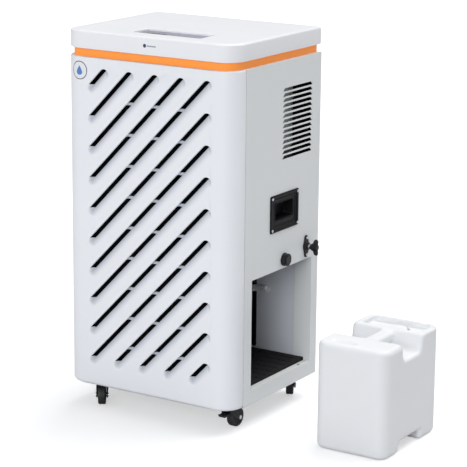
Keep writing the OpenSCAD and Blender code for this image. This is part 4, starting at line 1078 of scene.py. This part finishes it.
def fork_field(x, y, z):
    from_axle = np.hypot(x - AXLE_X, z - AXLE_Z)
    from_pin = np.hypot(x, y)
    cheek = join(taper(x, z, (0, 50), (AXLE_X, AXLE_Z), radius=15.5, end_radius=8.0),
                 taper(x, z, (26, 27), (27, 44), radius=8.0, end_radius=9.0), 6)
    cheek = np.maximum(cheek, z - 58.3)
    body = extrude(cheek, y, centre=0, half=14.6, radius=1.6)
    # wheel well, and the open space below it
    gap = np.abs(y) - WELL_HALF
    body = cut(body, np.maximum(from_axle - 28.2, gap), 0.6)
    body = cut(body, np.maximum(z - 34, gap), 0.6)
    top = extrude(from_pin - 17.3, z, centre=56.6, half=1.7, radius=0.7)
    body = join(body, top, 2.0)
    for side in (-1, 1):
        boss = extrude(from_axle - 6.0, y, centre=13.2 * side, half=1.3, radius=0.4)
        body = join(body, boss, 0.6)
    body = cut(body, from_axle - 3.05, 0.2)
    # kingpin: nut space and bore
    body = cut(body, np.maximum(from_pin - 7.4, np.abs(z - 52) - 3.4), 0.4)
    body = cut(body, from_pin - 4.3, 0.2)
    # pedal: space on the side away from the wheel, and pivot hole
    space = np.maximum(np.maximum(np.abs(y) - 11.8, x + 1.0), z - 49.5)
    body = cut(body, space, 0.5)
    return cut(body, np.hypot(x - PEDAL_X, z - PEDAL_Z) - 2.1, 0.2)


def pedal_field(x, y, z):
    x, z = x - PEDAL_X, z - PEDAL_Z
    from_pivot = np.hypot(x, z)
    lever = taper(x, z, (-2, 0.8), (-23, -1.6), radius=3.6, end_radius=2.6)
    tip = taper(x, z, (-20, -1.2), (-26, 1.6), radius=2.6, end_radius=2.0)
    lever = join(lever, tip, 2)
    half_width = 10.6 - 1.6 * np.clip(-x / 26.0, 0, 1)
    body = meet(lever, np.abs(y) - half_width, 1.6)
    body = join(body, extrude(from_pivot - 4.1, y, centre=0, half=11, radius=0.6), 1.2)
    body = join(body, extrude(from_pivot - 2.0, y, centre=0, half=14.2, radius=0.3), 0.3)
    # four grip grooves across the top
    for k in range(4):
        body = cut(body, np.hypot(x + 12 + 3.4 * k, z - 3.4 + 0.55 * k) - 0.9, 0.3)
    return body


def wheel_mesh():
    """Hub and tyre, one section turned about the axle."""
    section = WHEEL_HALF + [(radius, -y) for radius, y in WHEEL_HALF[::-1]]
    n = 64
    points = []
    faces = []
    for a, (radius, y) in enumerate(section):
        ring = circle(radius, n) + (AXLE_X, AXLE_Z)
        points.append(np.column_stack([ring[:, 0], np.full(n, y), ring[:, 1]]))
        b = (a + 1) % len(section)
        for i in range(n):
            j = (i + 1) % n
            faces.append([a * n + j, b * n + j, b * n + i, a * n + i])
    return np.concatenate(points), faces


def build_casters():
    fork, fork_faces = surface_nets(fork_field, (-20, -20, 14), (40, 20, 60),
                                    step=0.9, passes=3)
    pedal, pedal_faces = surface_nets(pedal_field, (-40, -16, 34), (-2, 16, 50),
                                      step=0.8, passes=3)
    wheel, wheel_faces = wheel_mesh()
    for tag in ("fl", "fr", "rl", "rr"):
        place = caster_place(tag)
        add_mesh("fork_shell_" + tag, to_layout(fork, *place), fork_faces, "swivel_" + tag,
                 [BLACK], angle=50, stands_for="caster_fork_" + tag)
        add_mesh("wheel_tyre_" + tag, to_layout(wheel, *place), wheel_faces, "roller_" + tag,
                 [TYRE], angle=32, stands_for="caster_wheel_" + tag)
        if tag in ("fl", "fr"):
            add_mesh("pedal_" + tag, to_layout(pedal, *place), pedal_faces, "brake_" + tag,
                     [BLACK], angle=50, stands_for="brake_pedal_" + tag)


build_casters()

# ------------------------------------------------------------------ foam, strip and seal
# name, low corner, high corner, material, slot, edge radius
SLABS = [
    ("foam_left", (-247.8, -95, 660), (-243.6, 175, 880), FOAM, "black_liner", 1.0),
    ("foam_rear", (-205, 197.4, 440), (228, 201.2, 884), FOAM, "black_liner", 1.0),
    ("bay_corner_strip", (69.3, 181.6, 107.0), (81.8, 184.9, 377.5), LINER, "black_liner", 1.0),
    ("sill_seal", (231.2, -113.0, 90.0), (247.6, 172.0, 95.6), BLACK_FILTER, "mat_rubber", 1.5),
    ("foam_top", (-232, -85, 889.0), (232, 190, 893.0), FOAM, "black_liner", 1.0),
]


def build_slab(name, low, high, material, slot, radius):
    """Pad with rounded edges, lofted along its thinnest axis."""
    low, high = np.array(low, float), np.array(high, float)
    centre, size = (low + high) / 2, high - low
    thin = int(np.argmin(size))
    u, v = [axis for axis in range(3) if axis != thin]
    edge = min(radius, size[thin] * 0.45)
    # inset of the outline, place along the thin axis
    stations = [(edge, low[thin]), (edge * 0.3, low[thin] + edge * 0.3), (0, low[thin] + edge),
                (0, high[thin] - edge), (edge * 0.3, high[thin] - edge * 0.3),
                (edge, high[thin])]
    rings = []
    for inset, place in stations:
        outline = rounded_loop(centre[u], centre[v], size[u] - 2 * inset, size[v] - 2 * inset,
                               radius=4.0, steps=4)
        rings.append(np.insert(outline, thin, place, axis=1))
    points, faces = loft(rings)
    if thin == 1:
        faces = [face[::-1] for face in faces]
    add_mesh(name, points, faces, "cabinet", [material], angle=40)


for slab in SLABS:
    build_slab(*slab)

# ------------------------------------------------------------------ badge and lid marks
BADGE_X, BADGE_Z = -HALF_WIDTH + 52.2, FRONT_TOP - 34.2
MARK_Z = LID_BOTTOM + 22.5


def front_mark(name, centre_x, centre_z, loops, material):
    """Thin sheet on the front skin; loops are (outline, lift off the skin), outside in."""
    rings = []
    for outline, lift in loops:
        x, y = plan_point(centre_x + outline[:, 0], np.full(len(outline), -lift))
        rings.append(np.column_stack([x, y, centre_z + outline[:, 1]]))
    points, faces = loft(rings)
    add_mesh(name, points, faces, "cabinet", [material], angle=40)


def discs(count, *sizes):
    """Circles from (radius, lift) pairs."""
    return [(circle(radius, count), lift) for radius, lift in sizes]


def drop(radius):
    """Water drop outline, point up."""
    return np.array([(-radius * math.sin(a) * math.sin(a / 2) ** 1.6, radius * math.cos(a))
                     for a in arc(48, 0, 2 * math.pi)[:-1]])


def bar(inset):
    return rounded_loop(0, 0, 26 - 2 * inset, 3.4 - 2 * inset, radius=1.2 - inset * 2 / 3,
                        steps=4)


front_mark("badge_rim", BADGE_X, BADGE_Z,
           discs(56, (23.0, -0.2), (23.0, 0.25), (22.6, 0.45), (21.6, 0.45), (21.2, 0.3),
                 (10, 0.3)), INK_DARK)
front_mark("badge_face", BADGE_X, BADGE_Z,
           discs(56, (21.0, 0.2), (21.0, 0.42), (20.6, 0.5), (10, 0.5)), PAPER)
front_mark("badge_drop", BADGE_X, BADGE_Z + 0.5,
           [(drop(12.0), 0.4), (drop(12.0), 0.6), (drop(11.6), 0.68)], INK_BLUE)
front_mark("lid_mark_dot", -3.5, MARK_Z,
           discs(28, (4.6, -0.2), (4.6, 0.12), (4.2, 0.2)), INK_DARK)
front_mark("lid_mark_bar", 16.0, MARK_Z - 0.2,
           [(bar(0), -0.2), (bar(0), 0.12), (bar(0.3), 0.18)], INK_GREY)


# ------------------------------------------------------------------ floor
def build_floor():
    mesh = bpy.data.meshes.new("floor")
    mesh.from_pydata([(-12, -12, 0), (14, -12, 0), (14, 16, 0), (-12, 16, 0)], [],
                     [(0, 1, 2, 3)])
    floor = bpy.data.objects.new("floor", mesh)
    SCENE.collection.objects.link(floor)
    floor.location.z = -0.0004
    material, tree, shader = new_material("floor_pale")
    paint = ramp(tree, noise(tree, object_place(tree), scale=3.0, detail=4.0),
                 (0.3, (0.60, 0.605, 0.615)), (0.7, (0.625, 0.63, 0.64)))
    # glows to the camera only
    to_camera = new_node(tree, "ShaderNodeLightPath").outputs["Is Camera Ray"]
    set_inputs(tree, shader, {
        "Base Color": paint, "Roughness": 0.9, "Specular IOR Level": 0.1,
        "Emission Color": (1, 1, 1, 1),
        "Emission Strength": compute(tree, "MULTIPLY", to_camera, 0.50)})
    mesh.materials.append(material)


build_floor()

# ------------------------------------------------------------------ world and lights
SCENE.view_settings.view_transform = "Standard"
WORLD_BASE, WORLD_X, WORLD_Z = 0.13, -0.05, 0.42  # strength: level, gain to +x, gain upwards


def build_world():
    """White to the camera; as light, brighter overhead and towards -x."""
    world = bpy.data.worlds.new("studio")
    SCENE.world = world
    world.use_nodes = True
    tree = world.node_tree
    direction = new_node(tree, "ShaderNodeTexCoord").outputs["Generated"]
    parts = new_node(tree, "ShaderNodeSeparateXYZ", {0: direction}).outputs
    above = compute(tree, "MAXIMUM", parts["Z"], 0.0)
    across = compute(tree, "MULTIPLY_ADD", parts["X"], WORLD_X, WORLD_BASE)
    strength = compute(tree, "MULTIPLY_ADD", above, WORLD_Z, across)
    to_camera = new_node(tree, "ShaderNodeLightPath").outputs["Is Camera Ray"]
    set_inputs(tree, tree.nodes["Background"], {
        "Strength": mix(tree, to_camera, strength, 1.0, kind="FLOAT"),
        "Color": (0.985, 0.99, 1.0, 1)})


def sun(name, towards, strength, soft, colour=(1, 1, 1)):
    """Sun that stands in the direction towards; soft is its angular size in degrees."""
    light = bpy.data.lights.new(name, "SUN")
    light.energy = strength
    light.angle = math.radians(soft)
    light.color = colour
    made = bpy.data.objects.new(name, light)
    SCENE.collection.objects.link(made)
    made.rotation_euler = Vector(towards).to_track_quat("Z", "Y").to_euler()


build_world()
sun("key_front", towards=(0.27, -0.89, 0.36), strength=1.22, soft=30, colour=(0.965, 0.98, 1.0))
sun("top_soft", towards=(0.16, 0.42, 0.88), strength=2.12, soft=45)
sun("left_fill", towards=(-0.55, -0.76, 0.35), strength=0.36, soft=50, colour=(0.98, 0.99, 1.0))

# ------------------------------------------------------------------ camera
CAMERA_PLACE = (2.643853, -4.019160, 1.629002)  # m from the layout's origin
YAW, PITCH, ROLL = 0.560079675, 0.242381324, 0.009297603  # radians left, down, anticlockwise
SENSOR, LENS = 36.0, 150.248351  # mm


def build_camera():
    camera = bpy.data.cameras.new("camera")
    made = bpy.data.objects.new("camera", camera)
    SCENE.collection.objects.link(made)
    forward = Vector((-math.sin(YAW) * math.cos(PITCH), math.cos(YAW) * math.cos(PITCH),
                      -math.sin(PITCH)))
    level = Vector((math.cos(YAW), math.sin(YAW), 0))
    upright = level.cross(forward)
    right = level * math.cos(ROLL) + upright * math.sin(ROLL)
    up = upright * math.cos(ROLL) - level * math.sin(ROLL)
    facing = Matrix((right, up, -forward)).transposed().to_4x4()
    x, y, z = CAMERA_PLACE
    place = Matrix.Translation((x + SHIFT[0] * MM, y + SHIFT[1] * MM, z))
    made.matrix_world = place @ facing
    camera.sensor_width = SENSOR
    camera.lens = LENS
    camera.clip_start, camera.clip_end = 0.1, 60
    SCENE.camera = made


build_camera()
